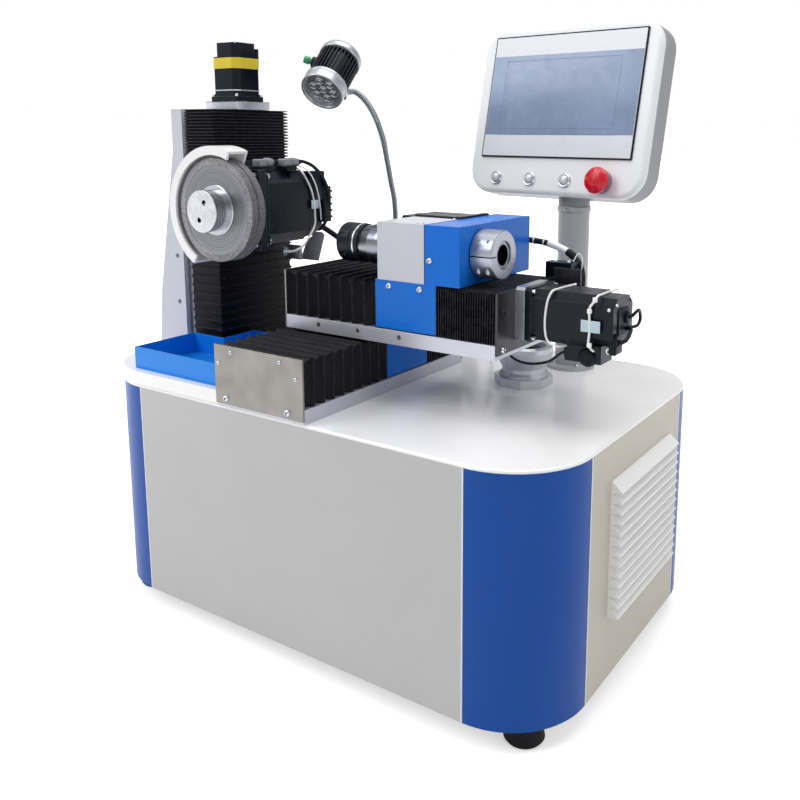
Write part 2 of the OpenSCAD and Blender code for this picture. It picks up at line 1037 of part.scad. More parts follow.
// Chuck nut: knurled black ring that closes the collet, with a chamfered mouth
module chuck_nut() {
    color(black)
        placed()
            on_spindle(nose_x - thread_l - nut_lip - seat)
                difference() {
                    rotate_extrude()
                        polygon([
                            [nut_mouth / 2, 0], [nut_d / 2 - 6, 0], [nut_d / 2, 5],
                            [nut_d / 2, thread_l - 4], [nut_d / 2 - 2, thread_l - 2],
                            [nut_d / 2 - 2, thread_l], [nut_d / 2 - 1, thread_l + 1],
                            [nut_d / 2 - 1, thread_l + nut_lip - 0.2],
                            [thread_d / 2 + fit, thread_l + nut_lip - 0.2],
                            [thread_d / 2 + fit, nut_lip], [nut_mouth / 2, nut_lip]
                        ]);
                    for (i = [0 : 5])
                        rotate([0, 0, i * 60])
                            translate([nut_d / 2 - 2, -3, 8])
                                cube([4, 6, 10]);
                }
}

// Split clamp collar on the rear end of the spindle: slit at the front, two screws
// that close it, with their heads in pockets under the slit
module clamp_collar() {
    slit = 1.6;
    screw_y = -collar_d * 0.39;
    color(white)
        placed()
            on_spindle(cover_left + cover_w + 1)
                difference() {
                    rotate_extrude()
                        polygon([
                            [tube_d / 2 + fit, 0], [collar_d / 2 - 1, 0], [collar_d / 2, 1],
                            [collar_d / 2, collar_l - 1.5], [collar_d / 2 - 1.5, collar_l],
                            [tube_d / 2 + fit, collar_l]
                        ]);
                    translate([-slit / 2, -collar_d, -1])
                        cube([slit, collar_d, collar_l + 2]);
                    for (z = [0.3, 0.72])
                        translate([0, screw_y, z * collar_l]) {
                            rotate([0, -90, 0])
                                cylinder(d = 3.5, h = collar_d);
                            translate([collar_d * 0.18, 0, 0])
                                rotate([0, 90, 0])
                                    cylinder(d = 7, h = collar_d);
                        }
                }
}

// ---------- Column and column slide ----------

gusset_t = 8;
z_rail_w = slide_w - 2 * gusset_t;
column_h = z_len;
column_hole_d = 8;

// Column: two gusset plates, the face web between them, a foot and a top plate
module column() {
    step_z = 200;
    lip_x = column_x + rail_t - 5;
    profile = [
        [0, 0], [column_x + 4, 0], [column_x + 4, step_z - 6], [lip_x, step_z + 10], [lip_x, column_h],
        [column_x - 9, column_h], [column_x - 9, column_h - 60], [9, 95]
    ];
    color(white)
        placed()
            translate([0, column_y, plate_z]) {
                for (side = [-1, 1])
                    translate([0, side * (slide_w - gusset_t) / 2 + gusset_t / 2, 0])
                        rotate([90, 0, 0])
                            linear_extrude(gusset_t)
                                difference() {
                                    polygon(profile);
                                    for (z = [80, 156])
                                        translate([column_x - 11, z])
                                            circle(d = column_hole_d);
                                }
                translate([column_x - 18, -z_rail_w / 2, 0])
                    cube([18, z_rail_w, column_h]);
                translate([0, -z_rail_w / 2, 0])
                    cube([column_x - 18, z_rail_w, 12]);
            }
}

module z_rail() {
    color("#2a2f45")
        placed()
            on_z()
                slide_rail(z_len, z_rail_w);
}

z_block_a = 70;
z_block_t = 12;

module z_motor() {
    color(black)
        placed()
            on_z() {
                difference() {
                    translate([z_len, -z_block_a / 2, screw_h - z_block_a / 2])
                        cube([z_block_t, z_block_a, z_block_a]);
                    translate([z_len - 1, 0, screw_h])
                        rotate([0, 90, 0])
                            cylinder(d = screw_d + 4, h = z_block_t + 2);
                }
                translate([z_len + z_block_t, 0, screw_h])
                    rotate([0, 90, 0])
                        servo(z_servo_a, z_servo_l, screw_d + 2 * fit, 14);
            }
}

z_lower_l = z_rest - saddle_l / 2;
z_upper_l = z_len - z_rest - saddle_l / 2;
z_pleats = 11;

module z_bellows_upper() {
    color(rubber)
        placed()
            on_z()
                translate([z_rest + saddle_l / 2 + seat, 0, 0])
                    bellows(z_upper_l - 2 * seat, fine_pleats);
}

module z_bellows_lower() {
    color(rubber)
        placed()
            on_z()
                translate([seat, 0, 0])
                    bellows(z_lower_l - 2 * seat, z_pleats);
}

module z_screw() {
    color(steel)
        placed()
            on_z()
                ball_screw(z_len + z_block_t + 10, 0);
}

// ---------- Grinding unit ----------

bracket_a = grinder_a + 6;

module on_arbor(y) {
    translate([wheel_x, y, wheel_z])
        rotate([-90, 0, 0])
            children();
}

// Z saddle with the angle bracket that carries the grinding motor
module z_saddle() {
    face_x = column_x + slide_h;
    low_z = wheel_z - bracket_a / 2;
    color(black)
        placed() {
            on_z()
                translate([z_rest, 0, 0])
                    slide_saddle(slide_w);
            translate([face_x, bracket_y, low_z])
                cube([wheel_x - grinder_a / 2 - face_x - 3, slide_w + 30, bracket_a]);
            difference() {
                translate([face_x, bracket_y, low_z])
                    cube([wheel_x + bracket_a / 2 - face_x, bracket_t, bracket_a]);
                on_arbor(bracket_y - 1)
                    cylinder(d = arbor_d + 20, h = bracket_t + 2);
            }
        }
}

module grinding_motor() {
    color(black)
        placed()
            on_arbor(motor_face_y)
                servo(grinder_a, grinder_l, arbor_d + 2 * fit, 16);
}

guard_wall = 4;
guard_start = 66;
guard_sweep = 175;
guard_y = wheel_y - 6;

// Channel section guard round the left half of the wheels, with a back plate
module wheel_guard() {
    depth = bracket_y - guard_y;
    lip_r = wheel_d / 2 + guard_gap;
    color(white)
        placed()
            translate([wheel_x, bracket_y, wheel_z])
                rotate([90, 0, 0])
                    rotate([0, 0, guard_start])
                        rotate_extrude(angle = guard_sweep)
                            polygon([
                                [arbor_d / 2 + 14, 0], [guard_r, 0], [guard_r, depth],
                                [lip_r, depth], [lip_r, depth - guard_wall],
                                [guard_r - guard_wall, depth - guard_wall],
                                [guard_r - guard_wall, guard_wall], [arbor_d / 2 + 14, guard_wall]
                            ]);
}

hub_d = 60;
hub_l = 26;
collar_gap = 3;

// Arbor shaft with its back flange, the spacer and the hub nut with two spanner holes
module wheel_arbor() {
    back_y = wheel_y + 2 * wheel_t + collar_gap;
    color(steel)
        placed() {
            on_arbor(wheel_y - hub_l + 2)
                cylinder(d = arbor_d, h = back_y - wheel_y + hub_l - 2);
            on_arbor(back_y)
                cylinder(d = arbor_d, h = motor_face_y - back_y + 14);
            on_arbor(back_y)
                cylinder(d = 2 * (arbor_d / 2 + 9), h = bracket_y - back_y + 1);
            difference() {
                on_arbor(wheel_y - hub_l)
                    cylinder(d = hub_d, h = hub_l);
                for (side = [-1, 1])
                    translate([side * 5.5, 0, side * 12.5])
                        on_arbor(wheel_y - hub_l - 1)
                            cylinder(d = 8, h = 9);
            }
        }
}

// Metal disc with a proud abrasive rim, seated on the arbor
module grinding_wheel(y) {
    rim_w = 9;
    proud = 0.8;
    on_arbor(y)
        rotate_extrude()
            polygon([
                [arbor_d / 2 + fit, proud], [wheel_d / 2 - rim_w - 1, proud], [wheel_d / 2 - rim_w, 0],
                [wheel_d / 2 - 0.5, 0], [wheel_d / 2, 0.5], [wheel_d / 2, wheel_t - 0.5],
                [wheel_d / 2 - 0.5, wheel_t], [arbor_d / 2 + fit, wheel_t]
            ]);
}

module front_wheel() {
    color(grey)
        placed()
            grinding_wheel(wheel_y);
}

module rear_wheel() {
    color(grey)
        placed() {
            grinding_wheel(wheel_y + wheel_t + collar_gap);
            on_arbor(wheel_y + wheel_t)
                difference() {
                    cylinder(d = 50, h = collar_gap + 1);
                    translate([0, 0, -1])
                        cylinder(d = arbor_d + 2 * fit, h = collar_gap + 3);
                }
        }
}

// ---------- Drip tray ----------

tray_x0 = 88;
tray_x1 = y_slide_x - 3;
tray_arm_x = column_x + slide_h + 4;
tray_y0 = 12;
tray_y1 = column_y - slide_w / 2 - 3;
tray_y2 = 191;

function tray_outline(inset) = [
    [tray_x0 + inset, tray_y0 + inset], [tray_x1 - inset, tray_y0 + inset],
    [tray_x1 - inset, tray_y2 - inset], [tray_arm_x + inset, tray_y2 - inset],
    [tray_arm_x + inset, tray_y1 - inset], [tray_x0 + inset, tray_y1 - inset]
];

// L shaped folded tray round the foot of the column, with a drain spigot
module drip_tray() {
    color(tray_blue)
        placed()
            translate([0, 0, plate_z + seat])
                difference() {
                    union() {
                        linear_extrude(tray_h)
                            polygon(tray_outline(0));
                        translate([drain_x, drain_y, -rail_t])
                            cylinder(d = drain_d, h = rail_t + 1);
                    }
                    translate([0, 0, tray_t])
                        linear_extrude(tray_h)
                            polygon(tray_outline(tray_t));
                    translate([drain_x, drain_y, -rail_t - 1])
                        cylinder(d = drain_d - 4, h = rail_t + tray_h);
                }
}

// ---------- Operator panel ----------

post_x = 603;
post_y = 460;
screen_x = 580;
screen_y = 450;
bezel_down = 17;
panel_over = 17.92;
screen_z = table_z + post_h + panel_over + (panel_h - bezel_h / 2 - bezel_down) * cos(panel_tilt);
pivot_d = 24;
pivot_h = 14;
button_row = -(bezel_h / 2 + 36);
button_d = 15;
ring_d = 20;
ring_h = 2;
estop_d = 40;
housing_mid = (bezel_h + 2 * bezel_down - panel_h) / 2;
bezel_proud = 3;

// Panel frame: x to the right, y up the face, z out of the face
module on_panel() {
    translate([screen_x, screen_y, screen_z])
        rotate([90 - panel_tilt, 0, -panel_turn])
            children();
}

module panel_post() {
    color(white)
        placed()
            translate([post_x, post_y, table_z]) {
                difference() {
                    union() {
                        cylinder(d = post_d, h = post_h);
                        cylinder(d = post_d + 30, h = 6);
                    }
                    translate([0, 0, -1])
                        cylinder(d = post_d - 6, h = post_h - 9);
                }
                translate([0, 0, post_h])
                    cylinder(d = pivot_d, h = pivot_h);
            }
}

button_x = [-104, -38, 28];
estop_x = 94;
recess = 12;

module panel_housing() {
    color(white)
        placed()
            difference() {
                union() {
                    on_panel() {
                        translate([-panel_w / 2, housing_mid - panel_h / 2, -panel_t])
                            mirror([0, 0, 1])
                                translate([0, 0, -panel_t / 2])
                                    rounded_slab(panel_w, panel_h, panel_t / 2, panel_r, 6);
                        translate([-panel_w / 2, housing_mid - panel_h / 2, -panel_t / 2])
                            rounded_slab(panel_w, panel_h, panel_t / 2, panel_r, 8);
                    }
                    translate([post_x, post_y, table_z + post_h + seat])
                        cylinder(d = post_d, h = 40);
                    on_panel() {
                        for (x = button_x)
                            translate([x, button_row, -1])
                                cylinder(d = ring_d, h = 1 + ring_h);
                        translate([estop_x, button_row, -1])
                            cylinder(d = 30, h = 1 + ring_h);
                    }
                }
                translate([post_x, post_y, table_z + post_h - 1])
                    cylinder(d = pivot_d + 2 * fit, h = pivot_h + 2);
                on_panel() {
                    translate([-bezel_w / 2, -bezel_h / 2, -4])
                        cube([bezel_w, bezel_h, 10]);
                    for (x = button_x)
                        translate([x, button_row, -recess])
                            cylinder(d = button_d + 2 * fit, h = recess + ring_h + 1);
                    translate([estop_x, button_row, -recess - 7])
                        cylinder(d = 16 + 2 * fit, h = recess + 14);
                }
            }
}

// Screen unit: raised frame with the display sunk a little into it
module panel_screen() {
    glass_w = 223;
    glass_h = 125;
    color(steel)
        placed()
            on_panel()
                translate([-bezel_w / 2, -bezel_h / 2, -4])
                    difference() {
                        cube([bezel_w, bezel_h, 4 + bezel_proud]);
                        translate([(bezel_w - glass_w) / 2, (bezel_h - glass_h) / 2, 4 + bezel_proud - 1])
                            cube([glass_w, glass_h, 2]);
                    }
}

// Push button: round cap with a domed face that runs in the ring on the housing
module push_button(x) {
    on_panel()
        translate([x, button_row, 0])
            rotate_extrude()
                polygon([
                    [0, 4 - recess], [button_d / 2, 4 - recess], [button_d / 2, ring_h + 1.5],
                    [button_d / 2 - 1, ring_h + 2.6], [button_d / 2 - 3, ring_h + 3.2],
                    [0, ring_h + 3.5]
                ]);
}

module start_button() {
    color(steel)
        placed()
            push_button(button_x[0]);
}

module stop_button() {
    color(steel)
        placed()
            push_button(button_x[1]);
}

module mode_button() {
    color(steel)
        placed()
            push_button(button_x[2]);
}

estop_neck = 9;

module estop_stem() {
    color(steel)
        placed()
            on_panel()
                translate([estop_x, button_row, -recess]) {
                    cylinder(d = 16, h = recess + estop_neck);
                    cylinder(d = 10, h = recess + estop_neck + 6);
                }
}

module estop_head() {
    color("#c9202c")
        placed()
            on_panel()
                translate([estop_x, button_row, estop_neck + seat])
                    difference() {
                        rotate_extrude()
                            polygon([
                                [0, 0], [estop_d / 2 - 5, 0], [estop_d / 2 - 4, 4], [estop_d / 2, 6],
                                [estop_d / 2, 9], [estop_d / 2 - 3, 13], [estop_d / 2 - 10, 15.5], [0, 16]
                            ]);
                        translate([0, 0, -1])
                            cylinder(d = 10 + 2 * fit, h = 8);
                    }
}

gland_x = 585;
gland_y = 334;
gland_bore = 46;

// Cable entry: eight sided base, narrow waist and a flared mouth
module conduit_gland() {
    color(grey)
        placed()
            translate([gland_x, gland_y, table_z]) {
                difference() {
                    rotate([0, 0, 22.5])
                        cylinder(d = 90, h = 13, $fn = 8);
                    translate([0, 0, -1])
                        cylinder(d = gland_bore, h = 15);
                }
                rotate_extrude()
                    polygon([
                        [gland_bore / 2, 12], [37, 12], [37, 16], [33, 20], [33, 26], [37, 34],
                        [43, 44], [45, 52], [43, 58], [38, 61], [34, 58], [30, 44], [gland_bore / 2, 30]
                    ]);
            }
}

// ---------- Work lamp ----------

lamp_x = 262;
lamp_y = 440;
lamp_base_h = 30;

module lamp_base() {
    color(black)
        placed()
            translate([lamp_x, lamp_y, table_z])
                difference() {
                    rotate_extrude()
                        polygon([
                            [0, 0], [27, 0], [27, 3], [25, 5], [25, lamp_base_h - 6], [22, lamp_base_h - 2],
                            [12, lamp_base_h], [0, lamp_base_h]
                        ]);
                    translate([0, 0, lamp_base_h - 20])
                        cylinder(d = neck_d + 2 * fit, h = 22);
                }
}

// Lamp frame: z along the beam, from the middle of the rear cap
lamp_tilt = 132;
lamp_turn = -79;
lamp_org = [237, 335, 832 - 330];
module on_lamp() {
    translate([lamp_org[0], lamp_org[1], lamp_org[2] + table_z])
        rotate([0, lamp_tilt, lamp_turn])
            children();
}

// Tube along a route: a ring of points at each place, square to the route
function unit(v) = v / norm(v);
function route_dir(p, i) = unit(p[min(i + 1, len(p) - 1)] - p[max(i - 1, 0)]);
function ring_at(c, t, r, n, ref) =
    let (a = unit(cross(t, ref)), b = cross(a, t))
        [for (k = [0 : n - 1]) c + r * (cos(k * 360 / n) * a + sin(k * 360 / n) * b)];
function spline_at(p, i, t) =
    let (
        a = p[max(i - 1, 0)], b = p[i], c = p[i + 1], d = p[min(i + 2, len(p) - 1)]
    )
        0.5 * (2 * b + (c - a) * t + (2 * a - 5 * b + 4 * c - d) * t * t
        + (3 * b - a - 3 * c + d) * t * t * t);
function smooth_route(p, steps) = concat(
    [for (i = [0 : len(p) - 2], k = [0 : steps - 1]) spline_at(p, i, k / steps)],
    [p[len(p) - 1]]
);

module tube_along(points, d, steps, n, ref) {
    route = smooth_route(points, steps);
    count = len(route);
    rings = [for (i = [0 : count - 1]) each ring_at(route[i], route_dir(route, i), d / 2, n, ref)];
    sides = [
        for (i = [0 : count - 2], k = [0 : n - 1])
            [i * n + k, i * n + (k + 1) % n, (i + 1) * n + (k + 1) % n, (i + 1) * n + k]
    ];
    first = [[for (k = [n - 1 : -1 : 0]) k]];
    last = [[for (k = [0 : n - 1]) (count - 1) * n + k]];
    polyhedron(points = rings, faces = concat(first, sides, last));
}

neck_route = [
    [262, 440, 42], [263, 438, 90], [267, 434, 150], [272, 428, 205], [277, 419, 255],
    [279, 406, 292], [279, 396, 328], [276, 388, 366], [267, 379, 402], [253, 371, 428],
    [239, 362, 442], [234.5, 346, 441], [238.24, 328.64, 437.27]
];
knuckle_x = lamp_d / 2 + 6.5;
knuckle_z = lamp_l * 0.54;
knuckle_d = 13;
knuckle_w = 12;
knuckle_pin_d = 5;
cheek_t = 3.5;

// Frame of the joint between neck and head: z along the tilt axis
module on_knuckle() {
    on_lamp()
        translate([knuckle_x, 0, knuckle_z])
            rotate([90, 0, 0])
                children();
}

module lamp_neck() {
    color(steel)
        placed() {
            translate([lamp_x, lamp_y, table_z + lamp_base_h - 18])
                cylinder(d = neck_d, h = 31);
            translate([0, 0, table_z])
                tube_along(neck_route, neck_d, 4, 10, [1, 0.2, 0]);
            on_knuckle() {
                cylinder(d = knuckle_d, h = knuckle_w, center = true);
                cylinder(d = knuckle_pin_d, h = knuckle_w + 2 * cheek_t + 2, center = true);
            }
        }
}

rib_n = 28;
switch_turn = -114;
switch_at = 0.4;

// Lamp head: rear cap, ribbed body and front ring with a recessed lens
module lamp_head() {
    body_r = lamp_d / 2 - 2;
    color(black)
        placed()
            on_lamp()
                difference() {
                    union() {
                        rotate_extrude()
                            polygon([
                                [0, 0], [lamp_d / 2 - 8, 0], [lamp_d / 2 - 2, 4], [lamp_d / 2, 9],
                                [lamp_d / 2, 19], [body_r - 2, 21], [body_r - 2, lamp_l - 30],
                                [lamp_d / 2, lamp_l - 28], [lamp_d / 2, lamp_l],
                                [lamp_d / 2 - 4, lamp_l], [lamp_d / 2 - 6, lamp_l - 7], [0, lamp_l - 7]
                            ]);
                        for (i = [0 : rib_n - 1])
                            rotate([0, 0, i * 360 / rib_n])
                                translate([body_r - 4, -1.6, 20])
                                    cube([4, 3.2, lamp_l - 49]);
                        rotate([0, 0, switch_turn])
                            translate([body_r - 6, 0, lamp_l * switch_at])
                                rotate([0, 90, 0])
                                    cylinder(d = 18, h = 14);
                        for (side = [-1, 1])
                            translate([
                                body_r - 4,
                                side * (knuckle_w / 2 + seat + cheek_t / 2) - cheek_t / 2,
                                knuckle_z - knuckle_d / 2
                            ])
                                cube([knuckle_x - body_r + 4 + knuckle_d / 2, cheek_t, knuckle_d]);
                    }
                    translate([knuckle_x, 0, knuckle_z])
                        rotate([90, 0, 0])
                            cylinder(d = knuckle_pin_d + 2 * fit, h = 3 * knuckle_w, center = true);
                    rotate([0, 0, switch_turn])
                        translate([body_r - 3, 0, lamp_l * switch_at])
                            rotate([0, 90, 0])
                                cylinder(d = 10 + 2 * fit, h = 20);
                }
}

module lamp_switch() {
    color("#1c9a5c")
        placed()
            on_lamp()
                rotate([0, 0, switch_turn])
                    translate([lamp_d / 2 - 2, 0, lamp_l * switch_at])
                        rotate([0, 90, 0]) {
                            cylinder(d = 10, h = 14);
                            translate([0, 0, 11])
                                cylinder(d1 = 13, d2 = 12, h = 8);
                        }
}

// ---------- Cables ----------

cable_d = 9;
head_cable_route = [
    [571.3, 318.5, 222], [582, 318.5, 222], [600, 320, 221], [629, 321, 218], [659, 320, 209],
    [679, 317, 195], [688, 312, 179], [691, 306, 160], [691, 303, 135], [690.5, 297, 117],
    [690.5, 288.8, 114]
];

module head_cable() {
    color(black)
        placed()
            translate([0, 0, table_z])
                tube_along(head_cable_route, cable_d, 4, 8, [0, 1, 0.1]);
}

grinder_cable_route = [
    [246, 232.4, 232], [246, 240, 232], [252, 262, 222], [261, 296, 198], [266, 338, 165],
    [268, 372, 130], [269, 402, 104], [275, 424, 80], [292, 434, 54], [304, 436, 28], [306.5, 436, 0.5]
];

module grinder_cable() {
    color(black)
        placed()
            translate([0, 0, table_z])
                tube_along(grinder_cable_route, cable_d, 4, 8, [1, 0, 0.1]);
}

feet();
cabinet_frame();
front_panel();
back_panel();
side_panels();
corner_panels();
side_louvre();
worktop();
base_plate();
cabinet_equipment();
y_rail();
y_end_plates();
y_motor();
y_bellows_front();
y_bellows_rear();
y_screw();
y_saddle();
x_rail();
x_end_plates();
x_motor();
x_bellows_left();
x_bellows_right();
x_screw();
x_saddle();
spindle_housing();
belt_cover();
head_motor();
timing_belt();
motor_pulley();
work_spindle();
chuck_nut();
clamp_collar();
head_cable();
column();
z_rail();
z_motor();
z_bellows_upper();
z_bellows_lower();
z_screw();
z_saddle();
grinding_motor();
wheel_guard();
wheel_arbor();
front_wheel();
rear_wheel();
grinder_cable();
drip_tray();
panel_post();
panel_housing();
panel_screen();
start_button();
stop_button();
mode_button();
estop_stem();
estop_head();
conduit_gland();
lamp_base();
lamp_neck();
lamp_head();
lamp_switch();
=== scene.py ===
"""Wet tool grinder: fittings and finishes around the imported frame.

Lengths inside the functions are millimetres in the machine's own frame (x to the right,
y to the back, z up from the cabinet's underside); at() brings them to scene metres.
"""

import math

import bmesh
import bpy
from mathutils import Matrix, Vector


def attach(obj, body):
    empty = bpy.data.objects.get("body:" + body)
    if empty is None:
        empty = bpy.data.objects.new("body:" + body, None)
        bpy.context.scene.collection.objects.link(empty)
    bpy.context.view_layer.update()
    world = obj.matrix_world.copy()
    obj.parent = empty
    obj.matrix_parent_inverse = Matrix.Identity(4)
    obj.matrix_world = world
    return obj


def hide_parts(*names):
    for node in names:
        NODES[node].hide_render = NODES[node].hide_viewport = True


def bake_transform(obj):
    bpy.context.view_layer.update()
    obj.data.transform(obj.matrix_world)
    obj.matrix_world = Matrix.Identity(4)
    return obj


bl_info = {
    "name": "Wet Tool Grinder",
    "version": (1, 0, 0),
    "blender": (4, 5, 0),
    "location": "View3D > Sidebar > Grinder",
    "description": "Fittings, cables and finishes of a three slide wet tool grinder",
    "category": "Object",
}

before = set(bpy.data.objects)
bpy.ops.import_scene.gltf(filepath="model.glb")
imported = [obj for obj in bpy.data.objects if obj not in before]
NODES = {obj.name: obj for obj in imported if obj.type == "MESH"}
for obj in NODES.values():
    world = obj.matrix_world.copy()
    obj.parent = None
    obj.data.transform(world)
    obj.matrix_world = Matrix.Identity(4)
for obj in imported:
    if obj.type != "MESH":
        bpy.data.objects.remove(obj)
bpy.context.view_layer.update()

MM = 0.001
ORIGIN = Vector((407.5, 273.0, -30.0))
I4 = Matrix.Identity(4)

# Cabinet: width, depth, height, and the joint between a wall and a round corner
CABINET_W, CABINET_D, CABINET_H = 800.0, 535.0, 326.0
CORNER_JOINT = 112.1
# Height of the ball screws over the base of their slides
SCREW_Z = 55
# Side and length of the motors, without their connectors
SERVO = (71, 121)
COLUMN_MOTOR = (60, 92)
HEAD_MOTOR = (80, 112)
GRINDING_MOTOR = (110, 127)
# Upright axes on the worktop, by x and y
POST = (603, 460)
LAMP_BASE = (262, 440)
CABLE_ENTRY = (585, 334)
DRAIN = (215, 110)
COLUMN_MOTOR_AXIS = (119, 210.5)
COLUMN_GROMMET = (46, 300)
# Axes of the grinding wheels (x, z) and of the workhead (y, z)
WHEEL_X, WHEEL_Z = 225, 594
HEAD_Y, HEAD_Z = 180, 547.5
# Angles above which an edge is drawn sharp, in degrees
SHARP, SHARP_SOFT, SHARP_HOSE = 32, 40, 50


# ---------- Places ----------

def at(x, y, z):
    """Machine millimetres to a point of the scene, in metres."""
    return (Vector((x, y, z)) - ORIGIN) * MM


def place(x, y, z, turn=I4):
    """Local millimetre frame with its origin at a machine point."""
    return Matrix.Translation(at(x, y, z)) @ turn.to_4x4() @ Matrix.Scale(MM, 4)


def rot(angle, axis):
    """Turn by an angle in degrees about an axis."""
    return Matrix.Rotation(math.radians(angle), 4, axis)


def shift(x, y, z):
    """Move by millimetres."""
    return Matrix.Translation((x, y, z))


def facing(direction):
    """Turns local z to the given direction."""
    return Vector(direction).to_track_quat("Z", "Y").to_matrix().to_4x4()


MACHINE = place(0, 0, 0)
ON_Y = place(363.5, 0, 330, rot(90, "Z"))
ON_X = place(297, 206.5, 419)
ON_Z = place(64, 210.5, 350, rot(-90, "Y") @ rot(180, "X"))
PANEL = place(580, 450, 763, rot(-7, "Z") @ rot(78, "X"))
LAMP = place(237, 335, 832, rot(-79, "Z") @ rot(132, "Y"))
ARBOR = place(WHEEL_X, 0, WHEEL_Z, rot(-90, "X"))
SPINDLE = place(0, HEAD_Y, HEAD_Z, rot(90, "Y"))


def to_mm(base):
    """Scene frame to a matrix in the machine's millimetres."""
    return MACHINE.inverted() @ base


def servo_frame(base, reach):
    """Frame of a slide's motor: z along its shaft axis, from its mounting face."""
    return to_mm(base @ shift(reach, 0, SCREW_Z) @ rot(90, "Y"))


# ---------- Shapes ----------

def circle(r, z, steps, corners=0):
    """Ring of points, or a polygon's outline where corners are given."""
    ring = []
    for k in range(steps):
        a = 2 * math.pi * k / steps
        q = r
        if corners:
            part = 2 * math.pi / corners
            q = r * math.cos(part / 2) / math.cos((a % part) - part / 2)
        ring.append(Vector((q * math.cos(a), q * math.sin(a), z)))
    return ring


def rounded(x0, x1, y0, y1, r, steps=4):
    """Outline of a rectangle with rounded corners."""
    out = []
    r = min(r, (x1 - x0) / 2, (y1 - y0) / 2)
    for cx, cy, start in ((x1 - r, y1 - r, 0), (x0 + r, y1 - r, 90), (x0 + r, y0 + r, 180),
                          (x1 - r, y0 + r, 270)):
        for k in range(steps + 1):
            a = math.radians(start + 90 * k / steps)
            out.append((cx + r * math.cos(a), cy + r * math.sin(a)))
    return out


def cut_square(a, c):
    """Outline of a square of side a, with its corners cut off by c."""
    h = a / 2
    return [(h, -h + c), (h, h - c), (h - c, h), (-h + c, h), (-h, h - c), (-h, -h + c), (-h + c, -h),
            (h - c, -h)]


def cap_head(d, h, socket):
    """Profile of a cap screw's head with its hexagon socket."""
    return [(d / 2, -.6), (d / 2, h - .5), (d / 2 - .5, h), (d * .3, h), (d * .27, h - .2, 6),
            (d * .26, h - d * socket, 6)]


def smooth_path(points, step=4.0):
    """Even points on a smooth curve through the given ones."""
    p = [Vector(q) for q in points]
    dense = []
    for i in range(len(p) - 1):
        a, b, c, d = p[max(i - 1, 0)], p[i], p[i + 1], p[min(i + 2, len(p) - 1)]
        n = max(4, int((c - b).length / step) * 2)
        for k in range(n):
            t = k / n
            curve = (2 * b + (c - a) * t + (2 * a - 5 * b + 4 * c - d) * t * t
                     + (3 * b - a - 3 * c + d) * t ** 3)
            dense.append(0.5 * curve)
    dense.append(p[-1])
    run = [0.0]
    for a, b in zip(dense, dense[1:]):
        run.append(run[-1] + (b - a).length)
    count = max(2, round(run[-1] / step))
    out, j = [], 0
    for k in range(count + 1):
        s = run[-1] * k / count
        while j < len(run) - 2 and run[j + 1] < s:
            j += 1
        span = run[j + 1] - run[j] or 1.0
        out.append(dense[j].lerp(dense[j + 1], (s - run[j]) / span))
    return out


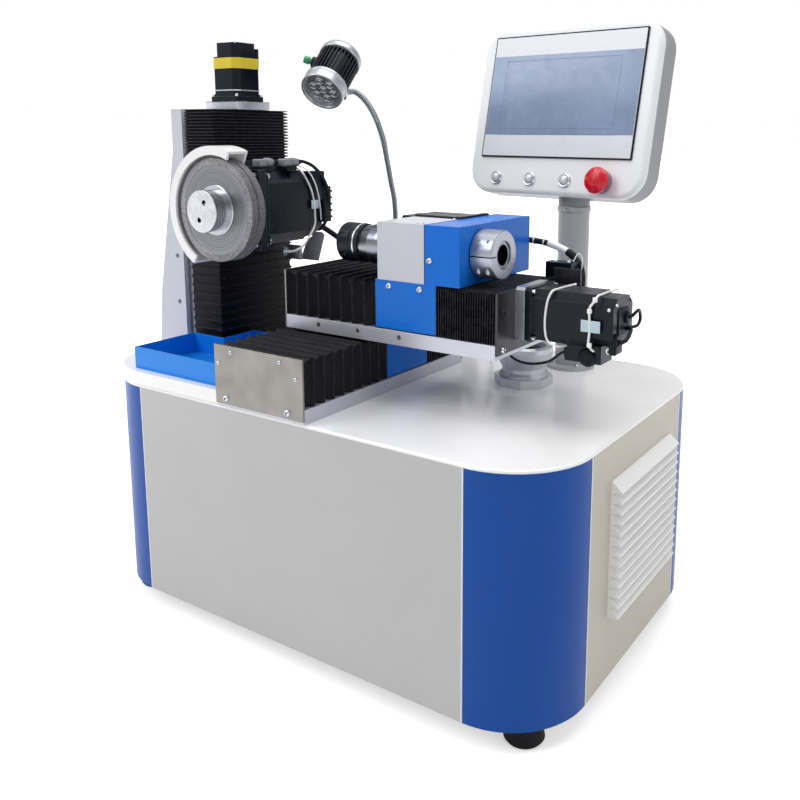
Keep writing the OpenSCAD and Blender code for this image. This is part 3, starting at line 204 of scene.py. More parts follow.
class Form:
    """Collects the faces of one piece in a millimetre frame."""

    def __init__(self, base=MACHINE):
        self.bm = bmesh.new()
        self.base = base
        self.finishes = []

    def skin(self, rings, name, m=I4, closed=False):
        """Joins rings of points with faces, and closes the first and last one."""
        if name not in self.finishes:
            self.finishes.append(name)
        mat = self.finishes.index(name)
        t = self.base @ m
        rows = [[self.bm.verts.new(t @ q) for q in ring] for ring in rings]
        pairs = list(zip(rows, rows[1:])) + ([(rows[-1], rows[0])] if closed else [])
        for a, b in pairs:
            for k in range(len(a)):
                j = (k + 1) % len(a)
                self.bm.faces.new((a[k], a[j], b[j], b[k])).material_index = mat
        if not closed:
            self.bm.faces.new(list(reversed(rows[0]))).material_index = mat
            self.bm.faces.new(rows[-1]).material_index = mat

    def lathe(self, points, name, m=I4, steps=40, closed=False):
        """Turned shape: points are (radius, height) or (radius, height, corners)."""
        rings = [circle(max(q[0], 0.02), q[1], steps, q[2] if len(q) > 2 else 0) for q in points]
        self.skin(rings, name, m, closed=closed)

    def box(self, lo, hi, name, m=I4, edge=0.8, corner=0.0):
        """Box with rounded edges."""
        corner, steps = max(edge, corner), 3
        rings = []
        levels = [(edge * (1 - math.sin(a)), lo[2] + edge * (1 - math.cos(a)))
                  for a in [math.pi / 2 * k / steps for k in range(steps + 1)]]
        levels += [(q, lo[2] + hi[2] - z) for q, z in reversed(levels)]
        for q, z in levels:
            outline = rounded(lo[0] + q, hi[0] - q, lo[1] + q, hi[1] - q, max(corner - q, 0.05), steps + 1)
            rings.append([Vector((x, y, z)) for x, y in outline])
        self.skin(rings, name, m)

    def prism(self, outline, z0, z1, name, m, inset):
        """Straight body on an outline; inset breaks its two rims around the middle."""
        cx = sum(q[0] for q in outline) / len(outline)
        cy = sum(q[1] for q in outline) / len(outline)

        def ring(z, d):
            out = []
            for x, y in outline:
                v = Vector((x - cx, y - cy))
                v = v * (1 - d / max(v.length, 0.01))
                out.append(Vector((cx + v.x, cy + v.y, z)))
            return out

        levels = [(z0, inset), (z0 + inset, 0), (z1 - inset, 0), (z1, inset)]
        self.skin([ring(z, d) for z, d in levels], name, m)

    def hollow(self, outer, inner, z0, z1, name, m=I4):
        """Frame between two outlines with the same number of points."""
        levels = ((outer, z0), (outer, z1), (inner, z1), (inner, z0))
        rings = [[Vector((x, y, z)) for x, y in outline] for outline, z in levels]
        self.skin(rings, name, m, closed=True)

    def sweep(self, path, radius, name, sides=12):
        """Tube along a path; radius is a number or a function of the place, 0 to 1."""
        rings, normal, last = [], None, None
        for i, q in enumerate(path):
            d = (path[min(i + 1, len(path) - 1)] - path[max(i - 1, 0)]).normalized()
            normal = d.orthogonal().normalized() if last is None else last.rotation_difference(d) @ normal
            last = d
            normal = (normal - d * normal.dot(d)).normalized()
            side = d.cross(normal)
            r = radius(i / (len(path) - 1)) if callable(radius) else radius
            turns = [2 * math.pi * k / sides for k in range(sides)]
            rings.append([q + r * (math.cos(a) * normal + math.sin(a) * side) for a in turns])
        self.skin(rings, name)

    def socket_screw(self, x, y, z, direction, d=6.0, high=None, name="screw steel"):
        """Cap screw head with its hexagon socket, standing on a face."""
        self.lathe(cap_head(d, high or d * .6, .35), name, shift(x, y, z) @ facing(direction), 24)

    def button_screw(self, x, y, z, direction, d=9.0, name="screw steel"):
        """Button head screw."""
        h = d * 0.32
        self.lathe([(d / 2, -0.5), (d / 2, 0.25), (d * 0.47, h * 0.4), (d * 0.4, h * 0.75), (d * 0.3, h),
                    (d * 0.24, h - 0.1), (d * 0.22, h - 0.3, 6), (d * 0.21, h * 0.2, 6)], name,
                   shift(x, y, z) @ facing(direction), 24)

    def make(self, name, angle):
        """Makes the object and gives it its finishes; edges above the angle are sharp."""
        bmesh.ops.recalc_face_normals(self.bm, faces=self.bm.faces)
        mesh = bpy.data.meshes.new(name)
        self.bm.to_mesh(mesh)
        self.bm.free()
        for f in self.finishes:
            mesh.materials.append(finish(f))
        mesh.polygons.foreach_set("use_smooth", [True] * len(mesh.polygons))
        if angle:
            mesh.set_sharp_from_angle(angle=math.radians(angle))
        obj = bpy.data.objects.new(name, mesh)
        bpy.context.scene.collection.objects.link(obj)
        return obj

    def done(self, name, body, replaces=(), angle=SHARP):
        """Lets the finished piece ride on its body."""
        obj = self.make(name, angle)
        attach(obj, body)
        if replaces:
            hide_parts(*replaces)

    def bridge(self, name, replaces=None, angle=SHARP_SOFT):
        """Makes the finished piece, hides the part that it replaces and bakes its place into its mesh."""
        obj = self.make(name, angle)
        if replaces:
            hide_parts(replaces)
        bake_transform(obj)


# ---------- Shader groups ----------

def node(tree, kind, inputs=None, **settings):
    """Adds a node; inputs are values or the sockets that feed them."""
    n = tree.nodes.new(kind)
    for key, value in settings.items():
        setattr(n, key, value)
    for key, value in (inputs or {}).items():
        if isinstance(value, bpy.types.NodeSocket):
            tree.links.new(value, n.inputs[key])
        else:
            n.inputs[key].default_value = value
    return n


def math_node(tree, op, a, b=0.0, clamp=False):
    return node(tree, "ShaderNodeMath", {0: a, 1: b}, operation=op, use_clamp=clamp).outputs[0]


def remap(tree, value, a, b, c=0.0, d=1.0):
    return node(tree, "ShaderNodeMapRange", {"Value": value, "From Min": a, "From Max": b, "To Min": c,
                                             "To Max": d}).outputs[0]


def mix(tree, factor, a, b):
    """Colour between a and b."""
    n = tree.nodes.new("ShaderNodeMix")
    n.data_type = "RGBA"
    for index, value in ((0, factor), (6, a), (7, b)):
        if isinstance(value, bpy.types.NodeSocket):
            tree.links.new(value, n.inputs[index])
        else:
            n.inputs[index].default_value = value
    return n.outputs[2]


def new_group(name, inputs, outputs):
    """Empty node group, with the sockets that its nodes read and feed."""
    g = bpy.data.node_groups.new(name, "ShaderNodeTree")
    for label, kind, default in inputs:
        s = g.interface.new_socket(label, in_out="INPUT", socket_type="NodeSocket" + kind)
        s.default_value = default
    for label, kind in outputs:
        g.interface.new_socket(label, in_out="OUTPUT", socket_type="NodeSocket" + kind)
    return g, g.nodes.new("NodeGroupInput").outputs, g.nodes.new("NodeGroupOutput").inputs


def noise(g, vector, scale, detail=2.0, rough=0.5):
    return node(g, "ShaderNodeTexNoise", {"Vector": vector, "Scale": scale, "Detail": detail,
                                          "Roughness": rough}).outputs[0]


def coords(g, stretch=None):
    """Object coordinates, in metres, stretched for grain that runs one way."""
    c = node(g, "ShaderNodeTexCoord").outputs["Object"]
    if stretch is None:
        return c
    return node(g, "ShaderNodeVectorMath", {0: c, 1: stretch}, operation="MULTIPLY").outputs[0]


def surface_group(name, scale, fine, stretch=(1, 1, 1)):
    """Group with the inputs and outputs that every surface has."""
    inputs = [("Scale", "Float", scale), ("Fine", "Float", fine), ("Stretch", "Vector", stretch)]
    return new_group(name, inputs, [("Tone", "Float"), ("Gloss", "Float"), ("Height", "Float")])


def weighted(g, a, share_a, b, share_b):
    """Sum of two values by their shares."""
    return math_node(g, "ADD", math_node(g, "MULTIPLY", a, share_a), math_node(g, "MULTIPLY", b, share_b))


def soft_edges():
    """Rounded edge normal, and a mask of the edges, used both for the wear that handling leaves and for
    painted highlights along edges.
    """
    g, i, o = new_group("Soft edges", [("Radius", "Float", 0.001), ("Breakup", "Float", 140.0)],
                        [("Normal", "Vector"), ("Mask", "Float")])
    bevel = node(g, "ShaderNodeBevel", {"Radius": i["Radius"]}, samples=6).outputs[0]
    flat = node(g, "ShaderNodeNewGeometry").outputs["Normal"]
    dot = node(g, "ShaderNodeVectorMath", {0: bevel, 1: flat}, operation="DOT_PRODUCT").outputs["Value"]
    edge = remap(g, dot, 0.995, 0.80)
    spots = remap(g, noise(g, coords(g), i["Breakup"], 3.0, 0.6), 0.35, 0.65)
    g.links.new(bevel, o["Normal"])
    g.links.new(math_node(g, "MULTIPLY", edge, spots, True), o["Mask"])
    return g


def sprayed():
    """Paint: slow tone changes, gloss changes and the fine skin of the spray."""
    g, i, o = surface_group("Sprayed coat", 9.0, 900.0)
    c = coords(g, i["Stretch"])
    g.links.new(remap(g, noise(g, c, i["Scale"], 3.0, 0.55), 0.3, 0.7), o["Tone"])
    gloss = noise(g, c, math_node(g, "MULTIPLY", i["Scale"], 4.0), 4.0, 0.6)
    g.links.new(remap(g, gloss, 0.3, 0.7), o["Gloss"])
    g.links.new(noise(g, c, i["Fine"], 2.0, 0.5), o["Height"])
    return g


def brushed():
    """Brush lines along the axis that Stretch keeps short."""
    g, i, o = surface_group("Brush lines", 9.0, 1400.0, (.02, 1, 1))
    lines = noise(g, coords(g, i["Stretch"]), i["Fine"], 3.0, 0.65)
    cloud = noise(g, coords(g), i["Scale"], 3.0, 0.6)
    g.links.new(remap(g, weighted(g, lines, .6, cloud, .4), .35, .65), o["Tone"])
    g.links.new(remap(g, lines, 0.3, 0.7), o["Gloss"])
    g.links.new(lines, o["Height"])
    return g


def grainy():
    """Close grains: cast skin, moulded texture, fabric or abrasive by their scale."""
    g, i, o = surface_group("Grains", 12.0, 1500.0)
    c = coords(g, i["Stretch"])
    cells = node(g, "ShaderNodeTexVoronoi", {"Vector": c, "Scale": i["Fine"]})
    cloud = noise(g, c, i["Scale"], 4.0, 0.6)
    grain = cells.outputs["Distance"]
    g.links.new(remap(g, weighted(g, grain, .45, cloud, .7), .35, .85), o["Tone"])
    g.links.new(remap(g, cloud, 0.3, 0.7), o["Gloss"])
    g.links.new(grain, o["Height"])
    return g


def settled_dust():
    """Mask of the fine dust that lies on faces that look up."""
    g, i, o = new_group("Settled dust", [("Scale", "Float", 22.0)], [("Mask", "Float")])
    up = node(g, "ShaderNodeSeparateXYZ", {0: node(g, "ShaderNodeNewGeometry").outputs["Normal"]}).outputs[2]
    spots = remap(g, noise(g, coords(g), i["Scale"], 6.0, 0.65), 0.42, 0.72)
    g.links.new(math_node(g, "MULTIPLY", remap(g, up, 0.4, 1.0), spots, True), o["Mask"])
    return g


GROUPS = {"edges": soft_edges, "spray": sprayed, "brush": brushed, "grain": grainy, "dust": settled_dust}
built_groups = {}


def shared(name):
    """The node group of the given name, built when it is first used."""
    if name not in built_groups:
        built_groups[name] = GROUPS[name]()
    return built_groups[name]


# ---------- Finishes ----------

def rgb(text):
    """Screen colour as written on a paint chart, to linear values."""
    v = [int(text[k:k + 2], 16) / 255 for k in (1, 3, 5)]
    return tuple(c / 12.92 if c <= 0.04045 else ((c + 0.055) / 1.055) ** 2.4 for c in v)


# Depth of the surface grain, gloss of the clear coats and colour of the settled dust
RELIEF = .0006
COAT_ROUGHNESS = .12
DUST = (.55, .54, .52, 1)
# Grinding wheel: where its abrasive rim starts and where its outside begins, and their grains
RIM_FROM, RIM_OUTSIDE = .0655, .0746
GRIT_FACE, GRIT_OUTSIDE = ("#58575b", "#c2c1c4"), ("#48474a", "#8f8e91")

# colour, roughness, metallic, surface group, tone change, bump, then further values
FINISHES = {
    "cabinet paint": ("light", .38, 0, "spray", .018, .04, dict(coat=.15, edge=.0012, spec=.35)),
    "side paint": ("warm", .40, 0, "spray", .02, .04, dict(coat=.1, edge=.0012, spec=.35)),
    # Corner paint: lighter edge blue along its edges, a painted highlight.
    "corner paint": ("blue", .33, 0, "spray", .04, .04,
                     dict(coat=.05, edge=.0010, wear_and_highlight=.10, bare_and_highlight="sky", spec=.16)),
    "top paint": ("white", .22, 0, "spray", .03, .03, dict(coat=.5, edge=.0010)),
    "white paint": ("white", .32, 0, "spray", .04, .05, dict(coat=.3, edge=.0009, dust=.10)),
    "louvre plastic": ("white", .42, 0, "grain", .04, .04, dict(edge=.0007)),
    # Saddle and tray paint: lighter edge blue along their edges, a painted highlight.
    "saddle paint": ("bright_blue", .30, 0, "spray", .04, .04,
                     dict(coat=.06, edge=.0011, wear_and_highlight=.45, bare_and_highlight="sky", spec=.16)),
    "tray paint": ("tray", .24, 0, "spray", .05, .04, dict(coat=.12, edge=.0010, wear_and_highlight=.40, bare_and_highlight="sky",
                                                           dust=.04, spec=.2)),
    "head grey": ("grey", .34, 0, "spray", .04, .04, dict(coat=.3, edge=.0009, wear_and_highlight=.1)),
    "frame paint": ("light", .5, 0, "grain", .06, .06, dict(edge=.001, dust=.2)),
    "motor black": ("black", .28, 0, "spray", .35, .06, dict(edge=.0011, wear_and_highlight=.22, bare_and_highlight="steel", spec=.18)),
    "motor cap": ("black", .42, 0, "grain", .35, .10, dict(edge=.0011, wear_and_highlight=.15, bare_and_highlight="steel", spec=.15)),
    "black oxide": ("black", .38, .2, "grain", .4, .06, dict(edge=.0008, wear_and_highlight=.5, bare_and_highlight="steel", spec=.3)),
    # Bellows: the lighter crest grey laid on the pleat crests is a painted highlight.
    "bellows cloth": ("rubber", .46, 0, "grain", .30, .16,
                      dict(edge=.0018, wear_and_highlight=.8, bare_and_highlight="crest", fine=1800, spec=.13)),
    # The column is white paint; its finish takes the darker column colour as painted shade.
    "column paint with painted shade": ("pale", .34, 0, "spray", .02, .04, dict(coat=.15, edge=.0009, spec=.35)),
    "nose steel": ("nose", .22, 1, "grain", .08, .01, dict(edge=.0006)),
    "post paint": ("post", .36, 0, "spray", .04, .04, dict(coat=.15, edge=.0010, spec=.4)),
    "rail steel": ("steel", .34, .5, "brush", .06, .03, dict(edge=.0008, stretch=(.03, 1, 1))),
    "alloy plate": ("alloy", .32, 1, "brush", .10, .03, dict(edge=.0009, stretch=(1, 1, .04))),
    "dark sheet": ("gunmetal", .34, 1, "brush", .2, .03,
                   dict(edge=.0012, wear_and_highlight=.4, bare_and_highlight="alloy", stretch=(1, 1, .04))),
    "plug metal": ("gunmetal", .40, .4, "grain", .12, .04, dict(edge=.0009, wear_and_highlight=.2, bare_and_highlight="chrome")),
    "turned steel": ("alloy", .20, 1, "grain", .06, .01, dict(edge=.0006)),
    "spindle chrome": ("chrome", .26, 1, "spray", .05, .01, dict(edge=.0006)),
    "screw steel": ("chrome", .22, 1, "grain", .10, .02, dict()),
    "screw black": ("black", .35, .4, "grain", .3, .02, dict()),
    "collar alloy": ("collar", .30, .75, "brush", .05, .02, dict(edge=.0006, stretch=(1, .05, 1))),
    "cast alloy": ("chrome", .42, .8, "grain", .10, .10, dict(edge=.0010, fine=700)),
    "guard paint": ("white", .34, 0, "spray", .05, .05,
                    dict(coat=.25, edge=.0010, wear_and_highlight=.2, bare_and_highlight="steel", dust=.2)),
    "hub steel": ("hub", .26, 1, "brush", .16, .03, dict(edge=.0008, stretch=(.06, 1, .06))),
    "cable black": ("black", .42, 0, "grain", .25, .05, dict(fine=1600, spec=.25)),
    "sleeve white": ("white", .5, 0, "grain", .05, .06, dict(fine=1200)),
    "tie white": ("white", .45, 0, "spray", .03, .02, dict(edge=.0004)),
    "tag paper": ("tag", .55, 0, "grain", .04, .02, dict(fine=1800)),
    "connector black": ("black", .36, 0, "grain", .3, .06,
                        dict(edge=.0006, wear_and_highlight=.12, bare_and_highlight="steel", spec=.15)),
    "connector shell": ("chrome", .28, 1, "grain", .10, .03, dict(edge=.0006)),
    "bezel": ("bezel", .30, 0, "grain", .04, .02, dict(coat=.3, edge=.0008, fine=1500)),
    "display line": ("sky_grey", .35, 0, "spray", .02, .01, dict(spec=.3)),
    "gasket": ("black", .6, 0, "grain", .2, .04, dict(spec=.15)),
    "button white": ("button", .25, .3, "spray", .03, .01, dict(coat=.2, edge=.0005)),
    "stop red": ("red", .18, 0, "spray", .10, .02, dict(coat=.3, edge=.0008, spec=.3)),
    "collar grey": ("lilac", .4, 0, "grain", .06, .04, dict(edge=.0006)),
    "band yellow": ("yellow", .42, 0, "grain", .10, .03, dict(edge=.0004, fine=1500, spec=.3)),
    "lamp black": ("black", .30, .1, "spray", .3, .04, dict(edge=.0006, wear_and_highlight=.10, bare_and_highlight="steel", spec=.2)),
    "lamp silver": ("silver", .26, .5, "brush", .06, .03, dict(edge=.0006, stretch=(1, 1, .2))),
    "neck chrome": ("neck", .22, 1, "spray", .10, .02, dict()),
    "switch green": ("green", .35, 0, "spray", .06, .02, dict(coat=.3, edge=.0005)),
    "foot rubber": ("rubber", .7, 0, "grain", .25, .10, dict(edge=.001, fine=900, dust=.15, spec=.2)),
    "equipment": ("light", .45, 0, "grain", .06, .05, dict(edge=.001, dust=.1)),
}


def finish(name):
    """Material of the given name, made when it is first used."""
    known = bpy.data.materials.get(name)
    if known:
        return known
    if name in SPECIAL:
        return SPECIAL[name](name)
    colour, rough, metal, surface, tone, bump, more = FINISHES[name]
    return coated(name, colour_of(colour), rough, metal, surface, tone, bump, **more)


def colour_of(key):
    """Colour chosen in the sidebar, as linear values."""
    return tuple(getattr(bpy.context.scene.grinder_colours, key))


def toned(colour, factor=1.0):
    """Colour made darker or lighter, with an alpha of 1."""
    return [min(1, c * factor) for c in colour] + [1]


def principled(mat):
    """The material's own surface shader."""
    return mat.node_tree.nodes["Principled BSDF"]


def coated(name, colour, rough, metal=0.0, surface="spray", tone=.05, bump=.04, coat=0.0, edge=0.0, wear_and_highlight=0.0,
           bare_and_highlight="steel", dust=0.0, fine=None, scale=None, stretch=None, split=(), spec=.5):
    """Painted, metal or moulded surface with its tone, gloss, edges, worn edges and painted edge highlights,
    and dust.

    Each split is an axis, a limit along it in scene metres and the colour beyond the limit.
    """
    mat = bpy.data.materials.new(name)
    mat.use_nodes = True
    t = mat.node_tree
    shader = principled(mat)
    tex = node(t, "ShaderNodeGroup", node_tree=shared(surface))
    for key, value in (("Fine", fine), ("Scale", scale), ("Stretch", stretch)):
        if value is not None:
            tex.inputs[key].default_value = value
    base = mix(t, tex.outputs["Tone"], toned(colour, 1 - tone), toned(colour, 1 + tone))
    for axis, limit, other in split:
        along = node(t, "ShaderNodeVectorMath", {0: coords(t), 1: axis},
                     operation="DOT_PRODUCT").outputs["Value"]
        other = colour_of(other)
        second = mix(t, tex.outputs["Tone"], toned(other, 1 - tone), toned(other, 1 + tone))
        base = mix(t, math_node(t, "GREATER_THAN", along, limit), base, second)
    relief = node(t, "ShaderNodeBump", {"Strength": bump, "Distance": RELIEF,
                                        "Height": tex.outputs["Height"]})
    if edge:
        rim = node(t, "ShaderNodeGroup", {"Radius": edge}, node_tree=shared("edges"))
        t.links.new(rim.outputs["Normal"], relief.inputs["Normal"])
        # Edge colour: bare metal where handling has worn the edges; for the blue paints and the bellows it is
        # a lighter colour, a painted highlight along edges and crests.
        if wear_and_highlight:
            base = mix(t, math_node(t, "MULTIPLY", rim.outputs["Mask"], wear_and_highlight), base, toned(colour_of(bare_and_highlight)))
    if dust:
        layer = node(t, "ShaderNodeGroup", node_tree=shared("dust"))
        base = mix(t, math_node(t, "MULTIPLY", layer.outputs["Mask"], dust), base, DUST)
    t.links.new(base, shader.inputs["Base Color"])
    gloss = remap(t, tex.outputs["Gloss"], 0, 1, rough * .85, min(1, rough * 1.2))
    t.links.new(gloss, shader.inputs["Roughness"])
    t.links.new(relief.outputs[0], shader.inputs["Normal"])
    shader.inputs["Metallic"].default_value = metal
    shader.inputs["Coat Weight"].default_value = coat
    shader.inputs["Coat Roughness"].default_value = COAT_ROUGHNESS
    shader.inputs["Specular IOR Level"].default_value = spec
    return mat


def wheel_finish(name):
    """Turned disc with fine rings, and a pale granular abrasive rim."""
    colour = colour_of("wheel")
    mat = coated(name, colour, .34, 1, "brush", .10, .02, edge=.0006, stretch=(1, 1, 1))
    t = mat.node_tree
    shader = principled(mat)
    centre = -at(WHEEL_X, 0, WHEEL_Z)
    c = node(t, "ShaderNodeVectorMath", {0: coords(t), 1: centre}, operation="ADD").outputs[0]
    c = node(t, "ShaderNodeVectorMath", {0: c, 1: (1, 0, 1)}, operation="MULTIPLY").outputs[0]
    r = node(t, "ShaderNodeVectorMath", {0: c}, operation="LENGTH").outputs["Value"]
    rings = node(t, "ShaderNodeTexNoise", {"Scale": 620.0, "Detail": 4.0, "W": r},
                 noise_dimensions="1D").outputs[0]
    rim = math_node(t, "GREATER_THAN", r, RIM_FROM)
    grit = node(t, "ShaderNodeGroup", {"Fine": 520.0}, node_tree=shared("grain"))

    def grains(dark, light):
        return mix(t, grit.outputs["Tone"], toned(rgb(dark)), toned(rgb(light)))

    bright = math_node(t, "MULTIPLY", remap(t, rings, .25, .75), remap(t, r, .02, .066, .55, 1.0))
    metal = mix(t, bright, toned(colour, .55), toned(colour, 1.35))
    stone = mix(t, math_node(t, "GREATER_THAN", r, RIM_OUTSIDE), grains(*GRIT_FACE), grains(*GRIT_OUTSIDE))
    t.links.new(mix(t, rim, metal, stone), shader.inputs["Base Color"])
    t.links.new(remap(t, rim, 0, 1, 1, 0), shader.inputs["Metallic"])
    t.links.new(weighted(t, remap(t, rings, .3, .7, .30, .46), 1.0, rim, .45), shader.inputs["Roughness"])
    relief = [n for n in t.nodes if n.bl_idname == "ShaderNodeBump"][0]
    stones = math_node(t, "MULTIPLY", grit.outputs["Height"], rim)
    t.links.new(weighted(t, rings, .12, stones, 2.0), relief.inputs["Height"])
    relief.inputs["Strength"].default_value = .35
    return mat


def glass_finish(name):
    """Display glass, switched off, with faint smudges."""
    mat = coated(name, colour_of("glass"), .25, 0, "spray", .10, .0, coat=.35, scale=16.0, spec=.4)
    t = mat.node_tree
    smudge = noise(t, coords(t), 55.0, 5.0, 0.65)
    t.links.new(remap(t, smudge, .45, .75, .22, .45), principled(mat).inputs["Roughness"])
    principled(mat).inputs["Coat Roughness"].default_value = .25
    return mat


def lens_finish(name):
    """Clear gloss over the lamp's reflectors."""
    mat = coated(name, colour_of("lens"), .10, .5, "spray", .15, .03, coat=.8)
    principled(mat).inputs["Coat Roughness"].default_value = .03
    return mat


def panel_finish(name):
    """Light face on a grey shell."""
    back = -PANEL.to_3x3().col[2].normalized()
    seam = back.dot(PANEL @ Vector((0, 0, -11)))
    return coated(name, colour_of("panel"), .36, 0, "grain", .03, .03, coat=.1, edge=.001, fine=1600,
                  spec=.35, split=((back, seam, "shell"),))


def plates_finish(*split):
    """Mottled end sheets of a slide, with its other plates in their own colours."""
    def make(name):
        return coated(name, colour_of("stainless"), .36, .9, "spray", .17, .03, edge=.001, scale=26.0,
                      split=split)
    return make


SPECIAL = {
    "wheel disc": wheel_finish,
    "display glass": glass_finish,
    "lamp lens": lens_finish,
    "cross slide plates": plates_finish(((1, 0, 0), 0, "ink"), ((1, 0, 0), (659.2 - ORIGIN.x) * MM, "alloy"),
                                        ((0, 1, 0), .0108, "ink")),
    "lower slide plates": plates_finish(((0, 1, 0), (378.2 - ORIGIN.y) * MM, "alloy")),
    "panel shell": panel_finish,
}


def dress(name, *nodes):
    """Gives one finish to CAD nodes."""
    mat = finish(name)
    for n in nodes:
        for s in NODES[n].material_slots:
            s.material = mat


# ---------- Sizes and colours ----------

def length(name, text, value, low, high):
    return bpy.props.FloatProperty(name=name, description=text, default=value, min=low, max=high,
                                   unit="LENGTH")


def shade(name, text, value):
    return bpy.props.FloatVectorProperty(name=name, description=text, default=rgb(value), min=0, max=1,
                                         size=3, subtype="COLOR")


class GrinderSizes(bpy.types.PropertyGroup):
    """Sizes of the fittings."""
    cable_d: length("Motor cable", "Diameter of the motor cables", .009, .007, .010)
    signal_d: length("Signal cable", "Diameter of the thin signal cables", .0055, .004, .007)
    hose_pitch: length("Gooseneck pitch", "Distance of the windings of the lamp's neck", .0032, .0025, .005)
    pleat_d: length("Pleat depth", "Depth of the bellows' pleats", .008, .006, .009)
    hem_r: length("Pleat crest", "Radius of the sewn crests of the bellows", .0014, .0008, .0016)


class GrinderColours(bpy.types.PropertyGroup):
    """Colours of the finishes."""
    white: shade("White", "Worktop, column and guard", "#fdfdfe")
    light: shade("Light grey", "Front of the cabinet", "#c3c3c3")
    warm: shade("Warm grey", "Sides and back of the cabinet", "#c6c0b2")
    blue: shade("Cabinet blue", "Round corners of the cabinet", "#0d4da4")
    bright_blue: shade("Slide blue", "Saddles and belt cover", "#1271d8")
    # Painted highlight: lighter blue laid along the edges of the blue paints.
    sky: shade("Edge blue", "Light rims of the blue paint", "#6aacf0")
    tray: shade("Tray blue", "Drip tray", "#128aee")
    grey: shade("Head grey", "Spindle housing", "#ccced8")
    black: shade("Black", "Motors and small fittings", "#0a111d")
    rubber: shade("Rubber", "Bellows and feet", "#0c0c12")
    # Painted highlight: lighter grey laid on the crests of the bellows' pleats.
    crest: shade("Pleat crest", "Light rims of the pleats", "#62626c")
    steel: shade("Steel", "Rails and worn edges", "#c4c5d0")
    stainless: shade("Stainless", "End sheets", "#86847f")
    alloy: shade("Aluminium", "Machined plates", "#b0b1b8")
    gunmetal: shade("Dark metal", "Shaded sheet metal", "#8a8b93")
    chrome: shade("Chrome", "Screws and spindle", "#c9cbd3")
    wheel: shade("Wheel", "Body of the grinding wheels", "#7f8086")
    panel: shade("Panel", "Housing of the operator panel", "#f8fafd")
    bezel: shade("Bezel", "Frame of the screen", "#dfe3ea")
    glass: shade("Glass", "Display, switched off", "#8699ba")
    lens: shade("Lens", "Lens of the lamp", "#989da4")
    neck: shade("Neck", "Gooseneck", "#8c8e97")
    ink: shade("Dark end plate", "Right end plate of the cross slide", "#46464b")
    collar: shade("Clamp collar", "Collar behind the spindle", "#a9acb6")
    post: shade("Post", "Post of the operator panel", "#b4b6ba")
    shell: shade("Panel shell", "Sides and back of the operator panel", "#9c9da1")
    # Painted shade: the column's white paint made darker and bluer for the shade on it.
    pale: shade("Column", "Column of the upright slide", "#cdced8")
    hub: shade("Wheel hub", "Flanged hub of the wheels", "#c2c3c8")
    nose: shade("Spindle nose", "Ground nose of the work spindle", "#83858e")
    sky_grey: shade("Display line", "Line round the lit area of the display", "#6a7da0")
    silver: shade("Lamp rings", "Turned rings of the lamp", "#b4b6be")
    button: shade("Button", "Caps of the push buttons", "#c6c8ce")
    red: shade("Red", "Emergency stop", "#d40c26")
    lilac: shade("Collar", "Collar of the emergency stop", "#9a98a6")
    yellow: shade("Yellow", "Band on the column motor", "#e6cf3a")
    green: shade("Green", "Switch of the lamp", "#1d9a62")
    tag: shade("Tag", "Blank cable tags", "#c4d6e2")


# ---------- Cabinet ----------

class GRINDER_OT_cabinet(bpy.types.Operator):
    """Paints the cabinet and adds its folded panel edges, in white paint as a painted highlight, and the
    screws of the back wall
    """
    bl_idname = "grinder.cabinet"
    bl_label = "Cabinet"
    bl_options = {"REGISTER", "UNDO"}

    def execute(self, context):
        dress("cabinet paint", "front_panel")
        dress("side paint", "side_panels", "back_panel")
        dress("corner paint", "corner_panels")
        dress("frame paint", "cabinet_frame")
        dress("top paint", "worktop", "base_plate")
        dress("foot rubber", "feet")
        dress("louvre plastic", "side_louvre")
        dress("equipment", "cabinet_equipment")
        sunk, half = .35, .9
        joints_x, joints_y = ((CORNER_JOINT, side - CORNER_JOINT) for side in (CABINET_W, CABINET_D))
        faces_x, faces_y = ((sunk, side - sunk) for side in (CABINET_W, CABINET_D))
        places = [(x, y) for x in joints_x for y in faces_y] + [(x, y) for y in joints_y for x in faces_x]
        # White strips at the joints of the wall panels and round corners: the folded panel edges, in white
        # paint as a painted highlight along them.
        edges = Form()
        for x, y in places:
            edges.box((x - half, y - half, .5), (x + half, y + half, CABINET_H - .6), "white paint", edge=.6)
        edges.done("panel_edge_highlights", "machine")
        rims = [(x, z) for x in (126, 262, 400, 538, 674) for z in (14, 312)]
        screws = Form()
        for x, z in rims + [(126, 163), (674, 163)]:
            screws.button_screw(x, CABINET_D, z, (0, 1, 0), 8)
        screws.done("back_screws", "machine")
        return {"FINISHED"}


# ---------- Slides ----------

# name, slide, still end, moving end, pleats, still body, moving body, share of the pleat depth
WAY_COVERS = (
    ("y_front", ON_Y, .3, 175.7, 9, "machine", "y_carriage", 1.0),
    ("y_rear", ON_Y, 374.7, 276.3, 16, "machine", "y_carriage", 1.0),
    ("x_left", ON_X, .3, 167.7, 8, "y_carriage", "x_carriage", 1.0),
    ("x_right", ON_X, 358.7, 268.3, 24, "y_carriage", "x_carriage", 1.0),
    ("z_lower", ON_Z, .3, 209.7, 15, "machine", "z_carriage", .3),
    ("z_upper", ON_Z, 389.7, 310.3, 16, "machine", "z_carriage", .6),
)
# Way covers: half width, height, lower edge, cut corner and cloth
COVER_HALF, COVER_TOP, COVER_FOOT, COVER_CUT, CLOTH = 81.5, 87, 21.3, 2.5, 1.4


